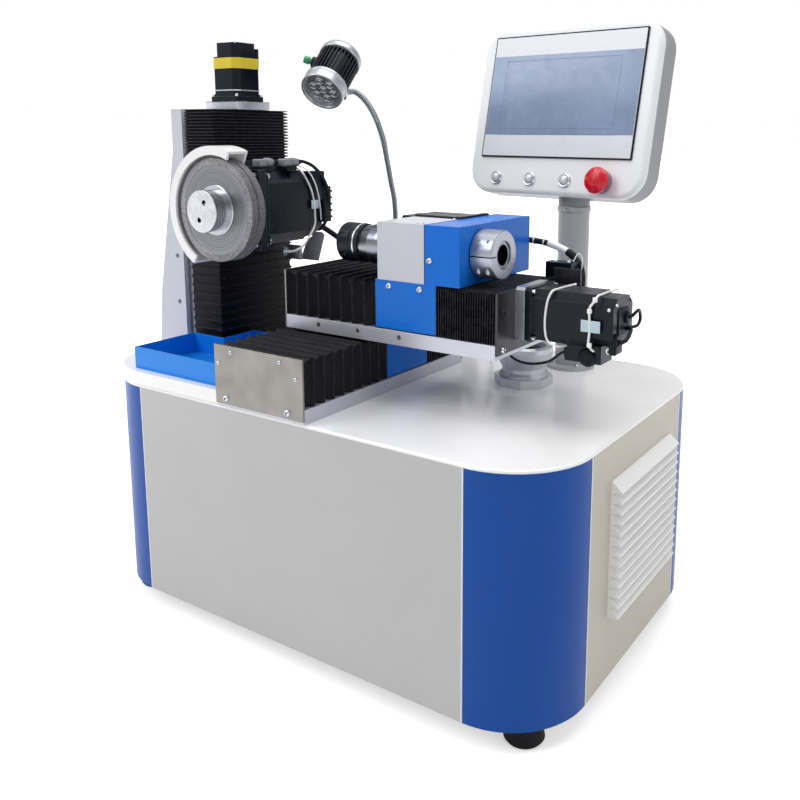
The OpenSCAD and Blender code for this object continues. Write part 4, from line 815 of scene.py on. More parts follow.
def cover_ring(u, d):
    """Section of a way cover at u along its slide, drawn in by d, hollow underneath."""
    w, top, foot, c, thin = COVER_HALF - d, COVER_TOP - d, COVER_FOOT, COVER_CUT, CLOTH
    outer = [(-w, foot), (-w, top - c), (-w + c * .3, top - c * .3), (-w + c, top), (w - c, top),
             (w - c * .3, top - c * .3), (w, top - c), (w, foot)]
    inner = [(w - thin, foot), (w - thin, top - c), (w - thin - .2, top - thin - .2), (w - c, top - thin),
             (-w + c, top - thin), (-w + thin + .2, top - thin - .2), (-w + thin, top - c), (-w + thin, foot)]
    return [Vector((u, y, z)) for y, z in outer + inner]


def bellows(form, low, high, pleats, deep, hem):
    """Folded way cover with sewn crests, between two places on its slide."""
    pitch = (high - low) / pleats
    hem = min(hem, pitch * .2)
    flank, valley = hem * .9 + .3, .45
    rings = []
    for k in range(pleats):
        u = low + k * pitch
        rings += [cover_ring(u, .15 if k == 0 else 0), cover_ring(u + hem * .8, .1), cover_ring(u + hem, .5),
                  cover_ring(u + hem * 1.15, flank), cover_ring(u + pitch / 2 - valley, deep),
                  cover_ring(u + pitch / 2 + valley, deep), cover_ring(u + pitch - hem * 1.15, flank),
                  cover_ring(u + pitch - hem, .5), cover_ring(u + pitch - hem * .8, .1)]
    form.skin(rings + [cover_ring(high, .15)], "bellows cloth")


class GRINDER_OT_slides(bpy.types.Operator):
    """Finishes the three slides, sews their bellows and screws on their end plates"""
    bl_idname = "grinder.slides"
    bl_label = "Slides"
    bl_options = {"REGISTER", "UNDO"}

    def execute(self, context):
        sizes = context.scene.grinder_sizes
        dress("rail steel", "y_rail", "x_rail")
        dress("dark sheet", "z_rail")
        dress("lower slide plates", "y_end_plates")
        dress("cross slide plates", "x_end_plates")
        dress("saddle paint", "y_saddle", "x_saddle")
        dress("black oxide", "z_saddle")
        dress("turned steel", "y_screw", "x_screw", "z_screw")
        dress("column paint with painted shade", "column")
        for name, base, still, moving, pleats, fixed, carried, share in WAY_COVERS:
            cover = Form(base)
            bellows(cover, min(still, moving), max(still, moving), pleats, sizes.pleat_d * share / MM,
                    sizes.hem_r / MM)
            cover.bridge("bellows_" + name,
                         name.replace("_", "_bellows_"))
        low = Form()
        for x, z in ((314, 409), (405, 409), (289, 391), (433, 390)):
            low.button_screw(x, -3, z, (0, -1, 0), 6)
        for x in (302, 417):
            low.button_screw(x, -3, 342.5, (0, -1, 0), 10)
        for x in (297, 430):
            for z in (342, 391):
                low.button_screw(x, 378, z, (0, 1, 0), 9)
        low.done("lower_slide_screws", "machine")
        cross = Form()
        for y in (137, 276):
            for z in (430, 492):
                cross.button_screw(294.5, y, z, (-1, 0, 0), 6)
        for y in (140, 273):
            cross.button_screw(659, y, 431, (1, 0, 0), 9)
            cross.button_screw(659, y, 480, (1, 0, 0), 8, "screw black")
        cross.done("cross_slide_screws", "y_carriage")
        return {"FINISHED"}


# ---------- Motors ----------

def bolt(form, base, x, y, z, d):
    """Cap screw on a motor's face."""
    form.lathe(cap_head(d, d * .75, .4), "screw steel", base @ shift(x, y, z), 24)


def motor_fittings(form, base, a, reach):
    """Corner bolts, the seam of the end cap, its cover and the cover's screws."""
    for sx in (-1, 1):
        for sy in (-1, 1):
            bolt(form, base, sx * a * .43, sy * a * .43, 9, a * .085)
            bolt(form, base, sx * a * .33, sy * a * .33, reach - .5, a * .055)
    seam, half = reach - reach * .24, a * .24
    form.hollow(cut_square(a - 2.4, a * .15), cut_square(a - 6, a * .15), seam - .6, seam + .4, "screw black",
                base)
    form.prism(rounded(-half, half, -half, half, a * .06), reach - .5, reach + 1.6, "motor cap", base, .8)


def round_plug(form, m, d, reach, shell="connector shell"):
    """Round cable connector: ribbed union nut, body and a grommet for the cable."""
    r = d / 2
    form.lathe([(r * .8, -1), (r * .8, 2), (r, 2.6), (r, 5), (r * .93, 5.4), (r, 5.8), (r, 7.6), (r * .93, 8),
                (r, 8.4), (r, reach * .55), (r * .85, reach * .6), (r * .85, reach - 4),
                (r * .78, reach - 3.4)], shell, m, 28)
    form.lathe([(r * .72, reach - 4), (r * .7, reach - 1), (r * .5, reach + 4), (r * .45, reach + 4.2)],
               "cable black", m, 24)


class GRINDER_OT_motors(bpy.types.Operator):
    """Finishes the servo motors and adds their bolts and caps, and the column motor's band, ring and mounting
    frames
    """
    bl_idname = "grinder.motors"
    bl_label = "Motors"
    bl_options = {"REGISTER", "UNDO"}

    def execute(self, context):
        dress("motor black", "y_motor", "x_motor", "z_motor", "head_motor", "grinding_motor")
        for name, body, m in (("lower_motor_fittings", "machine", servo_frame(ON_Y, 391.5)),
                              ("cross_motor_fittings", "y_carriage", servo_frame(ON_X, 375.5))):
            form = Form()
            motor_fittings(form, m, *SERVO)
            form.done(name, body)
        column = Form()
        m = servo_frame(ON_Z, 402)
        motor_fittings(column, m, *COLUMN_MOTOR)
        column.hollow(cut_square(58.2, 9), cut_square(56, 9), 52, 68.5, "band yellow", m)
        column.hollow(cut_square(58.0, 9), cut_square(56, 9), 17.5, 19.2, "connector shell", m)
        axis = shift(*COLUMN_MOTOR_AXIS, 0)
        edge = rounded(-35.6, 35.6, -35.6, 35.6, 1.2, 2)
        for half, low, high in ((34.8, 740.3, 752.5), (30.4, 751.9, 752.7)):
            column.hollow(edge, rounded(-half, half, -half, half, .8, 2), low, high, "alloy plate", axis)
        column.done("column_motor_fittings", "machine")
        grinding = Form()
        motor_fittings(grinding, to_mm(ARBOR) @ shift(0, 0, 104), *GRINDING_MOTOR)
        grinding.done("grinding_motor_fittings", "z_carriage")
        return {"FINISHED"}


# ---------- Workhead ----------

class GRINDER_OT_workhead(bpy.types.Operator):
    """Finishes the workhead and adds its screws, the nose seal and the collar's clamp screws"""
    bl_idname = "grinder.workhead"
    bl_label = "Workhead"
    bl_options = {"REGISTER", "UNDO"}

    def execute(self, context):
        dress("head grey", "spindle_housing")
        dress("saddle paint", "belt_cover")
        dress("nose steel", "work_spindle")
        dress("black oxide", "chuck_nut")
        dress("collar alloy", "clamp_collar")
        dress("turned steel", "motor_pulley")
        dress("gasket", "timing_belt")
        screws = Form()
        for x, z in ((555, 540), (488, 500), (539, 500)):
            screws.button_screw(x, 125, z, (0, -1, 0), 9)
        for x in (529, 538):
            screws.socket_screw(x, 136, 587, (0, 0, 1), 4, .3, "screw black")
        screws.done("workhead_screws", "x_carriage")
        outline, inner = ([(-z, y) for y, z in rounded(*sides, .4, 1)]
                          for sides in ((124.75, 313.25, 507.8, 587.25), (126.5, 311.5, 509.5, 585.5)))
        seam = Form()
        seam.hollow(outline, inner, 546.6, 547.4, "gasket", rot(90, "Y"))
        seam.done("cover_seam", "x_carriage")
        nose = Form(SPINDLE)
        for profile, name, steps in (
                ([(23.2, 400.1), (28.2, 400.1), (28.6, 400.6), (28.6, 402.2), (28.2, 402.6), (24, 402.6)],
                 "spindle chrome", 64),
                ([(23.8, 402.5), (27.4, 402.5), (27.8, 403), (27.9, 408), (27.5, 408.6), (25.6, 408.6)],
                 "black oxide", 64),
                ([(14.2, 366.4), (20, 366.4), (21.5, 367.4), (21.5, 368.2), (14.2, 368.2)], "turned steel",
                 48)):
            nose.lathe(profile, name, steps=steps, closed=True)
        nose.done("spindle_nose_rings", "workpiece_spindle")
        clamp = Form(SPINDLE)
        collar_from, collar_wide = 603, 33
        for share in (.3, .72):
            m = shift(11.9, -25.74, collar_from + share * collar_wide) @ rot(90, "Y")
            clamp.lathe([(3, -1), (3, 4.6), (2.6, 5), (1.8, 5), (1.6, 4.9, 6), (1.5, 2.6, 6)], "screw steel",
                        m, 24)
        clamp.done("clamp_screws", "workpiece_spindle")
        motor = Form()
        motor_fittings(motor, to_mm(place(547, 252, 550, rot(-90, "Y"))), *HEAD_MOTOR)
        motor.done("head_motor_fittings", "x_carriage")
        return {"FINISHED"}


# ---------- Grinding unit ----------

class GRINDER_OT_grinding_unit(bpy.types.Operator):
    """Finishes the wheels and guard and adds the bolts, the drip tray's strainer and the column's bolts"""
    bl_idname = "grinder.grinding_unit"
    bl_label = "Grinding unit"
    bl_options = {"REGISTER", "UNDO"}

    def execute(self, context):
        dress("wheel disc", "front_wheel", "rear_wheel")
        dress("hub steel", "wheel_arbor")
        dress("guard paint", "wheel_guard")
        dress("tray paint", "drip_tray")
        bolts = Form()
        bracket_y = 92
        for sx in (-50, 50):
            for sz in (-50, 50):
                bolts.socket_screw(WHEEL_X + sx, bracket_y, WHEEL_Z + sz, (0, -1, 0), 8, 4)
        for z in (545, 594, 643):
            bolts.socket_screw(166, bracket_y, z, (0, -1, 0), 7, 4, "screw black")
        bolts.done("motor_bracket_bolts", "z_carriage")
        hub = Form(ARBOR)
        for profile in ([(29.6, 35.2), (30.3, 35.6), (30.3, 38.4), (29.6, 38.8)],
                        [(24, 59.3), (36, 59.3), (37, 60.2), (37, 61.9), (24, 61.9)]):
            hub.lathe(profile, "turned steel", steps=72, closed=True)
        # Black cups in the hub's two holes: painted shade for the dark inside of the holes.
        hole_shade = [(.1, 42.2), (3.4, 42.2), (3.7, 40.4), (3.7, 35.6), (3.98, 35.4), (3.98, 43), (.1, 43)]
        for side in (-1, 1):
            hub.lathe(hole_shade, "gasket", shift(5.5 * side, -12.5 * side, 0), 28)
        hub.done("wheel_flange", "wheel_spindle")
        base = Form()
        for x in (16, 34):
            for y in (150, 271):
                base.socket_screw(x, y, 362, (0, 0, 1), 9)
        base.done("column_bolts", "machine")
        drain = Form()
        axis = shift(*DRAIN, 0)
        drain.lathe([(6.2, 350.4), (6.2, 353.2), (7.2, 353.8), (11, 353.5), (11.5, 352.6), (11.5, 352.2)],
                    "screw steel", axis, 36, closed=True)
        for k in range(3):
            drain.box((-6.4, -.7, 352.2), (6.4, .7, 353.2), "screw steel", axis @ rot(60 * k, "Z"), .3)
        drain.done("drain_strainer", "tray")
        return {"FINISHED"}


# ---------- Cables ----------

def cable(form, points, r, name="cable black", step=4.0, sides=14):
    """Cable on a smooth curve through its points."""
    form.sweep(smooth_path(points, step), r, name, sides)


def cable_radii(context):
    """Radii of the motor cables and of the thin signal cables, in millimetres."""
    sizes = context.scene.grinder_sizes
    return sizes.cable_d / MM / 2, sizes.signal_d / MM / 2


HEAD_CABLE = [(571.4, 318.5, 552), (582, 318.5, 552), (600, 320, 551), (629, 321, 548), (659, 320, 539),
              (679, 317, 525), (688, 312, 509), (691, 306, 490), (691, 303, 465), (690.5, 297, 447),
              (690.5, 288.8, 444)]
WHEEL_CABLE = [(246, 232.4, 562), (246, 240, 562), (252, 262, 552), (261, 296, 528), (266, 338, 495),
               (268, 372, 460), (269, 402, 434), (275, 424, 410), (292, 434, 384), (304, 436, 358),
               (306.5, 436, 330.5)]
# Leads from the cross slide to the cable entry
POWER_LEAD = [(739, 240, 427), (739, 258, 428), (722, 290, 434), (688, 308, 437), (650, 322, 428),
              (618, 330, 410), (598, 334, 397), (589, 334, 386), (588, 334, 374)]
ENCODER_LEAD = [(757, 240, 427), (756, 256, 427), (740, 292, 434), (700, 318, 438), (660, 332, 430),
                (626, 340, 412), (604, 343, 400), (592, 343, 389), (590, 343, 374)]
SWITCH_LEAD = [(662, 299, 501), (662, 299, 482), (660, 300, 456), (650, 303, 430), (632, 311, 410),
               (610, 320, 400), (592, 327, 395), (582, 330, 387), (580, 330, 374)]


class GRINDER_OT_motor_cables(bpy.types.Operator):
    """Lays the cables of the moving motors with their sleeves, and the grommets of the worktop"""
    bl_idname = "grinder.motor_cables"
    bl_label = "Motor cables"
    bl_options = {"REGISTER", "UNDO"}

    def execute(self, context):
        r = cable_radii(context)[0]
        head = Form()
        cable(head, HEAD_CABLE, r)
        path = smooth_path(HEAD_CABLE, 2.0)
        for low, high, radius, name in (
                (629, 661, lambda s: r + .75 + .25 * abs(math.sin(s * 50)), "sleeve white"),
                (661, 672, r + 1.1, "connector black"),
                (0, 580, lambda s: r + 1.6 - 1.2 * s, "connector black"),
                (603.6, 608.4, r + .7, "tie white"),
                (619.6, 624.4, r + .7, "tie white")):
            head.sweep([q for q in path if low < q.x < high], radius, name, sides=16)
        head.bridge("head_motor_cable",
                    "head_cable")
        wheel = Form()
        cable(wheel, WHEEL_CABLE, r)
        path = smooth_path(WHEEL_CABLE, 2.0)
        wheel.sweep(path[:9], lambda s: r + 2.2 - 1.4 * s, "connector black", sides=16)
        wheel.sweep(path[40:56], r + .8, "sleeve white", sides=16)
        wheel.bridge("grinding_motor_cable",
                     "grinder_cable")
        collar = [(r + .3, 329.8), (r + 7, 329.8), (r + 7, 332), (r + 5.5, 333.4), (r + 3, 334),
                  (r + 2.4, 339), (r + .3, 339)]
        grommets = Form()
        for x, y in ((306.5, 436), (430, 500)):
            grommets.lathe(collar, "foot rubber", shift(x, y, 0), 32, closed=True)
        grommets.done("cable_grommets", "machine")
        return {"FINISHED"}


class GRINDER_OT_plug_block(bpy.types.Operator):
    """Fits the plug block behind the cross slide's end cover with its cap, screws and bail"""
    bl_idname = "grinder.plug_block"
    bl_label = "Plug block"
    bl_options = {"REGISTER", "UNDO"}

    def execute(self, context):
        form = Form()
        for x in (652, 673):
            form.button_screw(x, 309, 514, (0, 1, 0), 5, "tie white")
            form.button_screw(x, 299, 527, (0, 0, 1), 5, "tie white")
        form.lathe([(8, .5), (9.6, .2), (9.6, -.5), (9, -.9), (6.6, -.9), (6.2, -1.3), (.1, -1.3)],
                   "connector black", shift(642, 298.5, 513.5) @ rot(90, "Y"), 32)
        form.box((645, 290, 493), (655, 303, 500.5), "sleeve white", edge=1)
        bail = [(677, 305, 527), (680, 309, 536), (684, 311, 538), (688, 311, 530), (688, 309, 518),
                (684, 308.6, 508), (680, 308, 503)]
        cable(form, bail, .8, "tie white", 2.0, 8)
        form.done("plug_block_fittings", "y_carriage")
        return {"FINISHED"}


class GRINDER_OT_cross_leads(bpy.types.Operator):
    """Adds the cross slide motor's plugs, loops, ties and tag, and its leads to the cable entry"""
    bl_idname = "grinder.cross_leads"
    bl_label = "Cross slide leads"
    bl_options = {"REGISTER", "UNDO"}

    def execute(self, context):
        r, thin = cable_radii(context)
        form = Form()
        black, across = "connector black", rot(90, "Y")
        form.lathe([(.1, -4), (6, -4), (10, -2.6), (12.4, 1), (12.4, 39)], black,
                   shift(756, 184, 426) @ rot(-90, "X"), 28)
        form.box((722, 186, 420), (735, 219, 437), black, edge=3)
        for x in (739, 757):
            round_plug(form, shift(x, 221, 427) @ rot(-90, "X"), 16, 18, black)
        form.lathe([(.1, 797.4), (8, 797.4), (9.5, 796), (9.5, 792)], black, shift(0, 186, 452) @ across, 28)
        form.lathe([(.1, 799), (6, 799), (7.5, 797.6), (7.5, 792)], black, shift(0, 214, 478) @ across, 28)
        form.box((789, 172, 436), (799, 196, 450), black, edge=3)
        upper = [(797, 214, 478), (802, 215, 480), (806, 221, 486), (805, 231, 485), (803, 240, 478),
                 (802, 243, 470), (801, 237, 464), (798, 228, 463), (792, 222, 463)]
        cable(form, upper, thin * .8, step=2.5)
        lower = [(797, 186, 452), (802, 186, 452), (806, 190, 455), (806, 200, 461), (804, 208, 464),
                 (799, 213, 464), (792, 214, 463)]
        cable(form, lower, thin * .9, step=2.5)
        form.lathe([(2.6, -1), (4.2, -.6), (4.2, .6), (2.6, 1)], "screw steel",
                   shift(790, 174, 441) @ rot(90, "X"), 24, closed=True)
        first = [(714, 236, 508.8), (712.5, 212, 509.2), (711, 190, 509.1), (710, 177, 508.6),
                 (708, 172, 503.5), (704.5, 171.6, 492), (702, 171.6, 470), (704, 171.6, 449),
                 (711, 171.8, 440.2), (721, 176, 437.6), (728, 190, 438)]
        second = [(774, 236, 508.8), (773.5, 208, 509.2), (773, 186, 509.1), (771.5, 177, 508.4),
                  (769.5, 172, 502), (763.5, 171.4, 493), (763.7, 171.2, 478), (764.5, 171.2, 469),
                  (763.8, 171.4, 460), (763, 171.6, 448), (766, 172.6, 441), (769, 176, 438)]
        for strap in (first, second):
            cable(form, strap, 1.5, "tie white", 3, 8)
        form.box((752.5, 170, 462.5), (778.3, 170.9, 477.5), "tag paper", edge=.3, corner=1.5)
        for x, z in ((770.5, 504), (763.5, 489), (764.5, 446)):
            form.box((x - 2.8, 169.2, z - 3), (x + 2.8, 173.2, z + 3), "tie white", edge=.9)
        form.button_screw(787, 175.5, 492, (0, -1, 0), 5)
        arc = [(724, 193, 428), (714, 195, 423.5), (697, 195, 410), (672, 195, 403), (651, 195, 404),
               (636, 196, 411), (628, 198, 418.6)]
        cable(form, arc, 1.8, step=3, sides=10)
        form.done("cross_motor_ties", "y_carriage")
        for name, route, radius in (("motor_lead", POWER_LEAD, r * .8), ("encoder_lead", ENCODER_LEAD, thin),
                                    ("switch_lead", SWITCH_LEAD, thin * .8)):
            lead = Form()
            cable(lead, route, radius)
            lead.bridge(name, angle=None)
        return {"FINISHED"}


class GRINDER_OT_grinding_leads(bpy.types.Operator):
    """Adds the grinding motor's connectors, leads and tag, and the sheet bracket that holds them"""
    bl_idname = "grinder.grinding_leads"
    bl_label = "Grinding motor leads"
    bl_options = {"REGISTER", "UNDO"}

    def execute(self, context):
        thin = cable_radii(context)[1]
        form = Form()
        black, metal = "connector black", "plug metal"
        for x, y in ((250, 128), (262, 168)):
            form.box((x - 13, y - 11, 648.4), (x + 13, y + 11, 656), black, edge=1.5)
            round_plug(form, shift(x, y + 6, 660) @ rot(-90, "X"), 15, 20, metal)
            form.box((x - 8, y - 9, 655), (x + 8, y + 7, 666), metal, edge=1.6)
        form.box((255, 200, 600), (281, 234, 646), black, edge=2)
        form.box((262, 228, 566), (283, 246, 622), black, edge=2)
        for z in (574, 584, 594, 604, 614):
            form.box((261, 230, z - 1.6), (284, 247.5, z + 1.6), black, edge=.5)
        long_tie = [(262, 186, 650), (272, 184, 651), (281.6, 183, 645), (282, 190, 636), (282, 200, 620),
                    (282, 206, 602), (282, 208, 579), (282, 207, 563), (282, 194, 547), (282, 180, 534),
                    (276, 166, 527), (262, 158, 526)]
        cable(form, long_tie, 1.5, "tie white", 3.0, 8)
        short_tie = [(240, 186, 652), (262, 190, 655), (276, 196, 650), (283, 204, 636), (285, 212, 615),
                     (284, 218, 590), (280, 224, 570)]
        cable(form, short_tie, 1.1, "tie white", 3.0, 8)
        form.box((282.2, 200, 589), (283.2, 216, 602), "tag paper", edge=.3, corner=1.2)
        lead = [(262, 190, 661), (264, 202, 661), (272, 214, 655), (280, 224, 642), (284, 234, 622),
                (283, 240, 600), (277, 243, 575), (266, 242, 556), (256, 240, 552), (250, 240, 560)]
        cable(form, lead, thin)
        bracket = [(200, 497), (238, 497), (252, 540), (247, 545), (236, 545), (214, 528)]
        form.prism(bracket, -1.5, 1.5, "dark sheet", shift(0, 262, 0) @ rot(90, "X"), .3)
        form.box((168, 258, 496), (203, 262, 520), "alloy plate", edge=.6)
        form.box((166.5, 254, 500), (170, 276, 516), "alloy plate", edge=.6)
        for x in (176, 192):
            form.button_screw(x, 258, 508, (0, -1, 0), 6)
        form.done("grinding_motor_leads", "z_carriage")
        return {"FINISHED"}


class GRINDER_OT_fixed_leads(bpy.types.Operator):
    """Lays the leads of the column motor and of the lower slide's motor down to the worktop"""
    bl_idname = "grinder.fixed_leads"
    bl_label = "Fixed leads"
    bl_options = {"REGISTER", "UNDO"}

    def execute(self, context):
        r = cable_radii(context)[0]
        form = Form()
        black = "connector black"
        form.box((105, 240, 812), (133, 247, 838), black, edge=1.5)
        round_plug(form, shift(119, 244, 820) @ rot(180, "X"), 15, 22, black)
        column = [(119, 244, 800), (119, 245, 790), (112, 258, 765), (92, 282, 735), (72, 298, 700),
                  (60, 302, 650), (54, 302, 560), (50, 301, 460), (46, 300, 380), (46, 300, 349)]
        cable(form, column, r * .85)
        for z in (620, 470):
            form.box((48, 292, z - 5), (62, 307, z + 5), black, edge=1)
        form.lathe([(5, 349.6), (11, 349.6), (11, 351.6), (8, 353.5), (7, 358), (5, 358)], "foot rubber",
                   shift(*COLUMN_GROMMET, 0), 28, closed=True)
        round_plug(form, shift(385, 500, 424), 15, 14, black)
        lower = [(385, 500, 440), (386, 500, 448), (396, 501, 455), (412, 501, 450), (424, 500, 430),
                 (429, 500, 400), (430, 500, 360), (430, 500, 331)]
        cable(form, lower, r * .8)
        form.done("fixed_motor_leads", "machine")
        return {"FINISHED"}


# ---------- Operator panel ----------

# Push buttons and emergency stop along the panel's lower edge
BUTTONS_X, STOP_X, BUTTONS_Y = (-104, -38, 28), 94, -132.5
PANEL_BACK = -52


class GRINDER_OT_panel(bpy.types.Operator):
    """Finishes the operator panel and adds the display, the button rings and the rear cover"""
    bl_idname = "grinder.panel_fittings"
    bl_label = "Operator panel"
    bl_options = {"REGISTER", "UNDO"}

    def execute(self, context):
        dress("post paint", "panel_post")
        dress("panel shell", "panel_housing")
        dress("bezel", "panel_screen")
        dress("button white", "start_button", "stop_button", "mode_button")
        dress("collar grey", "estop_stem")
        dress("stop red", "estop_head")
        glass = Form(PANEL)
        glass.box((-136.2, -62, 2.9), (136.2, 66, 3.3), "display glass", edge=.25)
        glass.hollow(rounded(-110, 102, -53, 58, 1, 2), rounded(-109.2, 101.2, -52.2, 57.2, 1, 2), 3.25, 3.4,
                     "display line")
        glass.done("display", "operator_panel")
        # Gasket round the screen, drawn up over the bezel's sides: a seal, and painted shade on those sides.
        seal_and_shade = Form(PANEL)
        seal_and_shade.hollow(rounded(-139, 139, -98.6, 98.6, 1.2, 2), rounded(-137.05, 137.05, -96.55, 96.55, .4, 2),
                     -.3, 2.5, "gasket")
        seal_and_shade.done("screen_seal_and_shade", "operator_panel")
        rings = Form(PANEL)
        for x in BUTTONS_X:
            rings.lathe([(7.75, 1.6), (8.3, 2.9), (9.6, 3.1), (10.9, 2.2), (11.6, .6), (11.6, -.3),
                         (7.75, -.3)], "spindle chrome", shift(x, BUTTONS_Y, 0), 48, closed=True)
        rings.lathe([(8.4, -.3), (8.4, 2.5), (15.4, 2.6), (17.4, 1.6), (18, .3), (18, -.3)], "collar grey",
                    shift(STOP_X, BUTTONS_Y, 0), 56, closed=True)
        rings.done("button_rings", "operator_panel")
        back = Form(PANEL)
        back.box((-120, -100, PANEL_BACK), (120, 96, PANEL_BACK + 3), "panel shell", edge=.9, corner=14)
        for x in (-108, 0, 108):
            for y in (-88, 84):
                back.button_screw(x, y, PANEL_BACK, (0, 0, -1), 7)
        for k in range(7):
            y = 30 + k * 6
            back.box((-40, y, PANEL_BACK - .8), (40, y + 2.4, PANEL_BACK + .5), "gasket", edge=.3)
        back.done("panel_rear_cover", "operator_panel")
        post = Form()
        circle_r = 32.5
        for k in range(4):
            a = math.radians(45 + 90 * k)
            x, y = POST[0] + circle_r * math.cos(a), POST[1] + circle_r * math.sin(a)
            post.socket_screw(x, y, 336, (0, 0, 1), 7)
        post.lathe([(24.8, 583), (26.6, 583.6), (26.6, 590.8), (24.8, 591.4)], "post paint", shift(*POST, 0),
                   56, closed=True)
        post.socket_screw(POST[0], 433.4, 587.2, (0, -1, 0), 5)
        post.done("post_fittings", "machine")
        return {"FINISHED"}


class GRINDER_OT_cable_entry(bpy.types.Operator):
    """Finishes the cable entry of the worktop and closes it with a rubber seal"""
    bl_idname = "grinder.cable_entry"
    bl_label = "Cable entry"
    bl_options = {"REGISTER", "UNDO"}

    def execute(self, context):
        dress("cast alloy", "conduit_gland")
        seal = Form()
        seal.lathe([(.5, 376), (29.6, 376), (30.4, 378), (29.6, 381.5), (26, 382.5), (.5, 381)],
                   "foot rubber", shift(*CABLE_ENTRY, 0), 48)
        seal.done("cable_entry_seal", "machine")
        return {"FINISHED"}


# ---------- Work lamp ----------

NECK = [(262, 440, 372), (263, 438, 420), (267, 434, 480), (272, 428, 535), (277, 419, 585), (279, 406, 622),
        (279, 396, 658), (276, 388, 696), (267, 379, 732), (253, 371, 758), (239, 362, 772),
        (234.5, 346, 771), (238.24, 328.64, 767.27)]


# Knuckle of the lamp, in the lamp head's frame
KNUCKLE_X, KNUCKLE_Z = 41.5, 51.84
FINS = 32


class GRINDER_OT_lamp(bpy.types.Operator):
    """Builds the finned lamp head and its lens"""
    bl_idname = "grinder.lamp"
    bl_label = "Work lamp"
    bl_options = {"REGISTER", "UNDO"}

    def execute(self, context):
        dress("lamp black", "lamp_base")
        dress("switch green", "lamp_switch")
        head = Form(LAMP)
        head.lathe([(.1, 0), (20, 0), (25, .7), (29.5, 2.4), (33, 5.6), (34.6, 9), (35, 12), (35, 18.4),
                    (34.4, 19.4), (30, 20)], "lamp silver", steps=72)
        head.lathe([(29.5, 19), (29.5, 76)], "lamp black", steps=56)
        head.lathe([(33.2, 20), (33.6, 20.4), (33.6, 22.6), (33.2, 23), (28, 23), (28, 20)], "lamp black",
                   steps=64, closed=True)
        for k in range(FINS):
            head.box((28.6, -1.1, 22.6), (33.8, 1.1, 74.8), "lamp black", rot(k * 360 / FINS, "Z"), .6)
        head.lathe([(29, 74.2), (34.2, 74.6), (35, 75.4), (35, 94.8), (34.2, 96), (31.4, 96), (30.6, 95),
                    (29.6, 88.6), (29, 88.4)], "lamp silver", steps=72, closed=True)
        for z in (78, 80.6):
            head.lathe([(34.9, z), (35.35, z + .3), (35.35, z + 1.1), (34.9, z + 1.4)], "lamp silver",
                       steps=72, closed=True)
        head.lathe([(29.4, 66), (29.4, 88.0), (27, 88.9), (.1, 89.4)], "lamp lens", steps=56)
        reflector = [(6.6, 88.6), (7.0, 90.2), (6.2, 90.8), (5.2, 89.9), (3.6, 89.6), (2.6, 90.6), (.1, 91.2)]
        ring_r = 17
        turns = [k * math.pi / 3 for k in range(6)]
        spots = [(0, 0)] + [(ring_r * math.cos(a), ring_r * math.sin(a)) for a in turns]
        for x, y in spots:
            head.lathe(reflector, "lamp lens", shift(x, y, 0), 24)
        boss = rot(-114, "Z") @ shift(25, 0, 38.4) @ rot(90, "Y")
        head.lathe([(9, 0), (9, 13), (8.4, 14), (6.4, 14.6), (5.3, 14.6), (5.3, 4)], "lamp black", boss, 36)
        for side in (-1, 1):
            y = side * 8.05
            head.box((27, y - 1.75, 45.3), (48, y + 1.75, 58.3), "lamp black", edge=.7, corner=3)
            head.lathe([(4.6, 0), (4.6, 1.6), (3.6, 2.4), (.1, 2.6)], "screw steel",
                       shift(KNUCKLE_X, side * 9.7, KNUCKLE_Z) @ rot(-side * 90, "X"), 28)
        head.done("work_lamp_head", "lamp", ("lamp_head",))
        return {"FINISHED"}


class GRINDER_OT_gooseneck(bpy.types.Operator):
    """Winds the lamp's metal neck, with its sleeves, its knuckle and the rings of its base"""
    bl_idname = "grinder.gooseneck"
    bl_label = "Gooseneck"
    bl_options = {"REGISTER", "UNDO"}

    def execute(self, context):
        base_axis, steel = shift(*LAMP_BASE, 0), "turned steel"
        neck = Form()
        path = smooth_path(NECK, context.scene.grinder_sizes.hose_pitch / MM / 4)
        steps = len(path) - 1
        neck.sweep(path, lambda s: 4.45 + .55 * abs(math.cos(math.pi * s * steps / 4)), "neck chrome",
                   sides=14)
        neck.lathe([(4.9, 342), (4.9, 378), (5.8, 378.6), (6, 380), (6, 392), (5.6, 393.4), (4.4, 393.4)],
                   steel, base_axis, 32)
        direction = Vector(NECK[-2]) - Vector(NECK[-1])
        neck.lathe([(4.9, 2), (6, 2.6), (6, 12.6), (4.9, 13.4)], steel, shift(*NECK[-1]) @ facing(direction),
                   28)
        knuckle = to_mm(LAMP) @ shift(KNUCKLE_X, 0, KNUCKLE_Z) @ rot(90, "X")
        neck.lathe([(5.6, -6), (6.5, -5.2), (6.5, 5.2), (5.6, 6)], steel, knuckle, 36)
        neck.lathe([(2.4, -9.6), (2.4, 9.6)], steel, knuckle, 24)
        neck.done("lamp_hose", "gooseneck", ("lamp_neck",), SHARP_HOSE)
        base = Form()
        base.lathe([(25.1, 338), (25.8, 338.6), (25.8, 343.4), (25.1, 344)], steel, base_axis, 56,
                   closed=True)
        for k in range(24):
            base.box((24.2, -.8, 345.2), (25.6, .8, 352), "lamp black", base_axis @ rot(15 * k, "Z"), .3)
        base.done("lamp_base_rings", "machine")
        return {"FINISHED"}


# ---------- Stage ----------

# name, place, aim, side in metres and power in watts
LIGHTS = (
    ("key", (-1.9, -2.3, 3.1), (0, 0, .5), 2.2, 66),
    ("top", (.3, .3, 3.4), (0, 0, .4), 2.6, 58),
    ("side", (3.2, .2, 1.9), (0, 0, .5), 1.8, 13),
    ("left", (-3.0, -.7, 1.2), (-.3, -.1, .4), 1.6, 10),
)
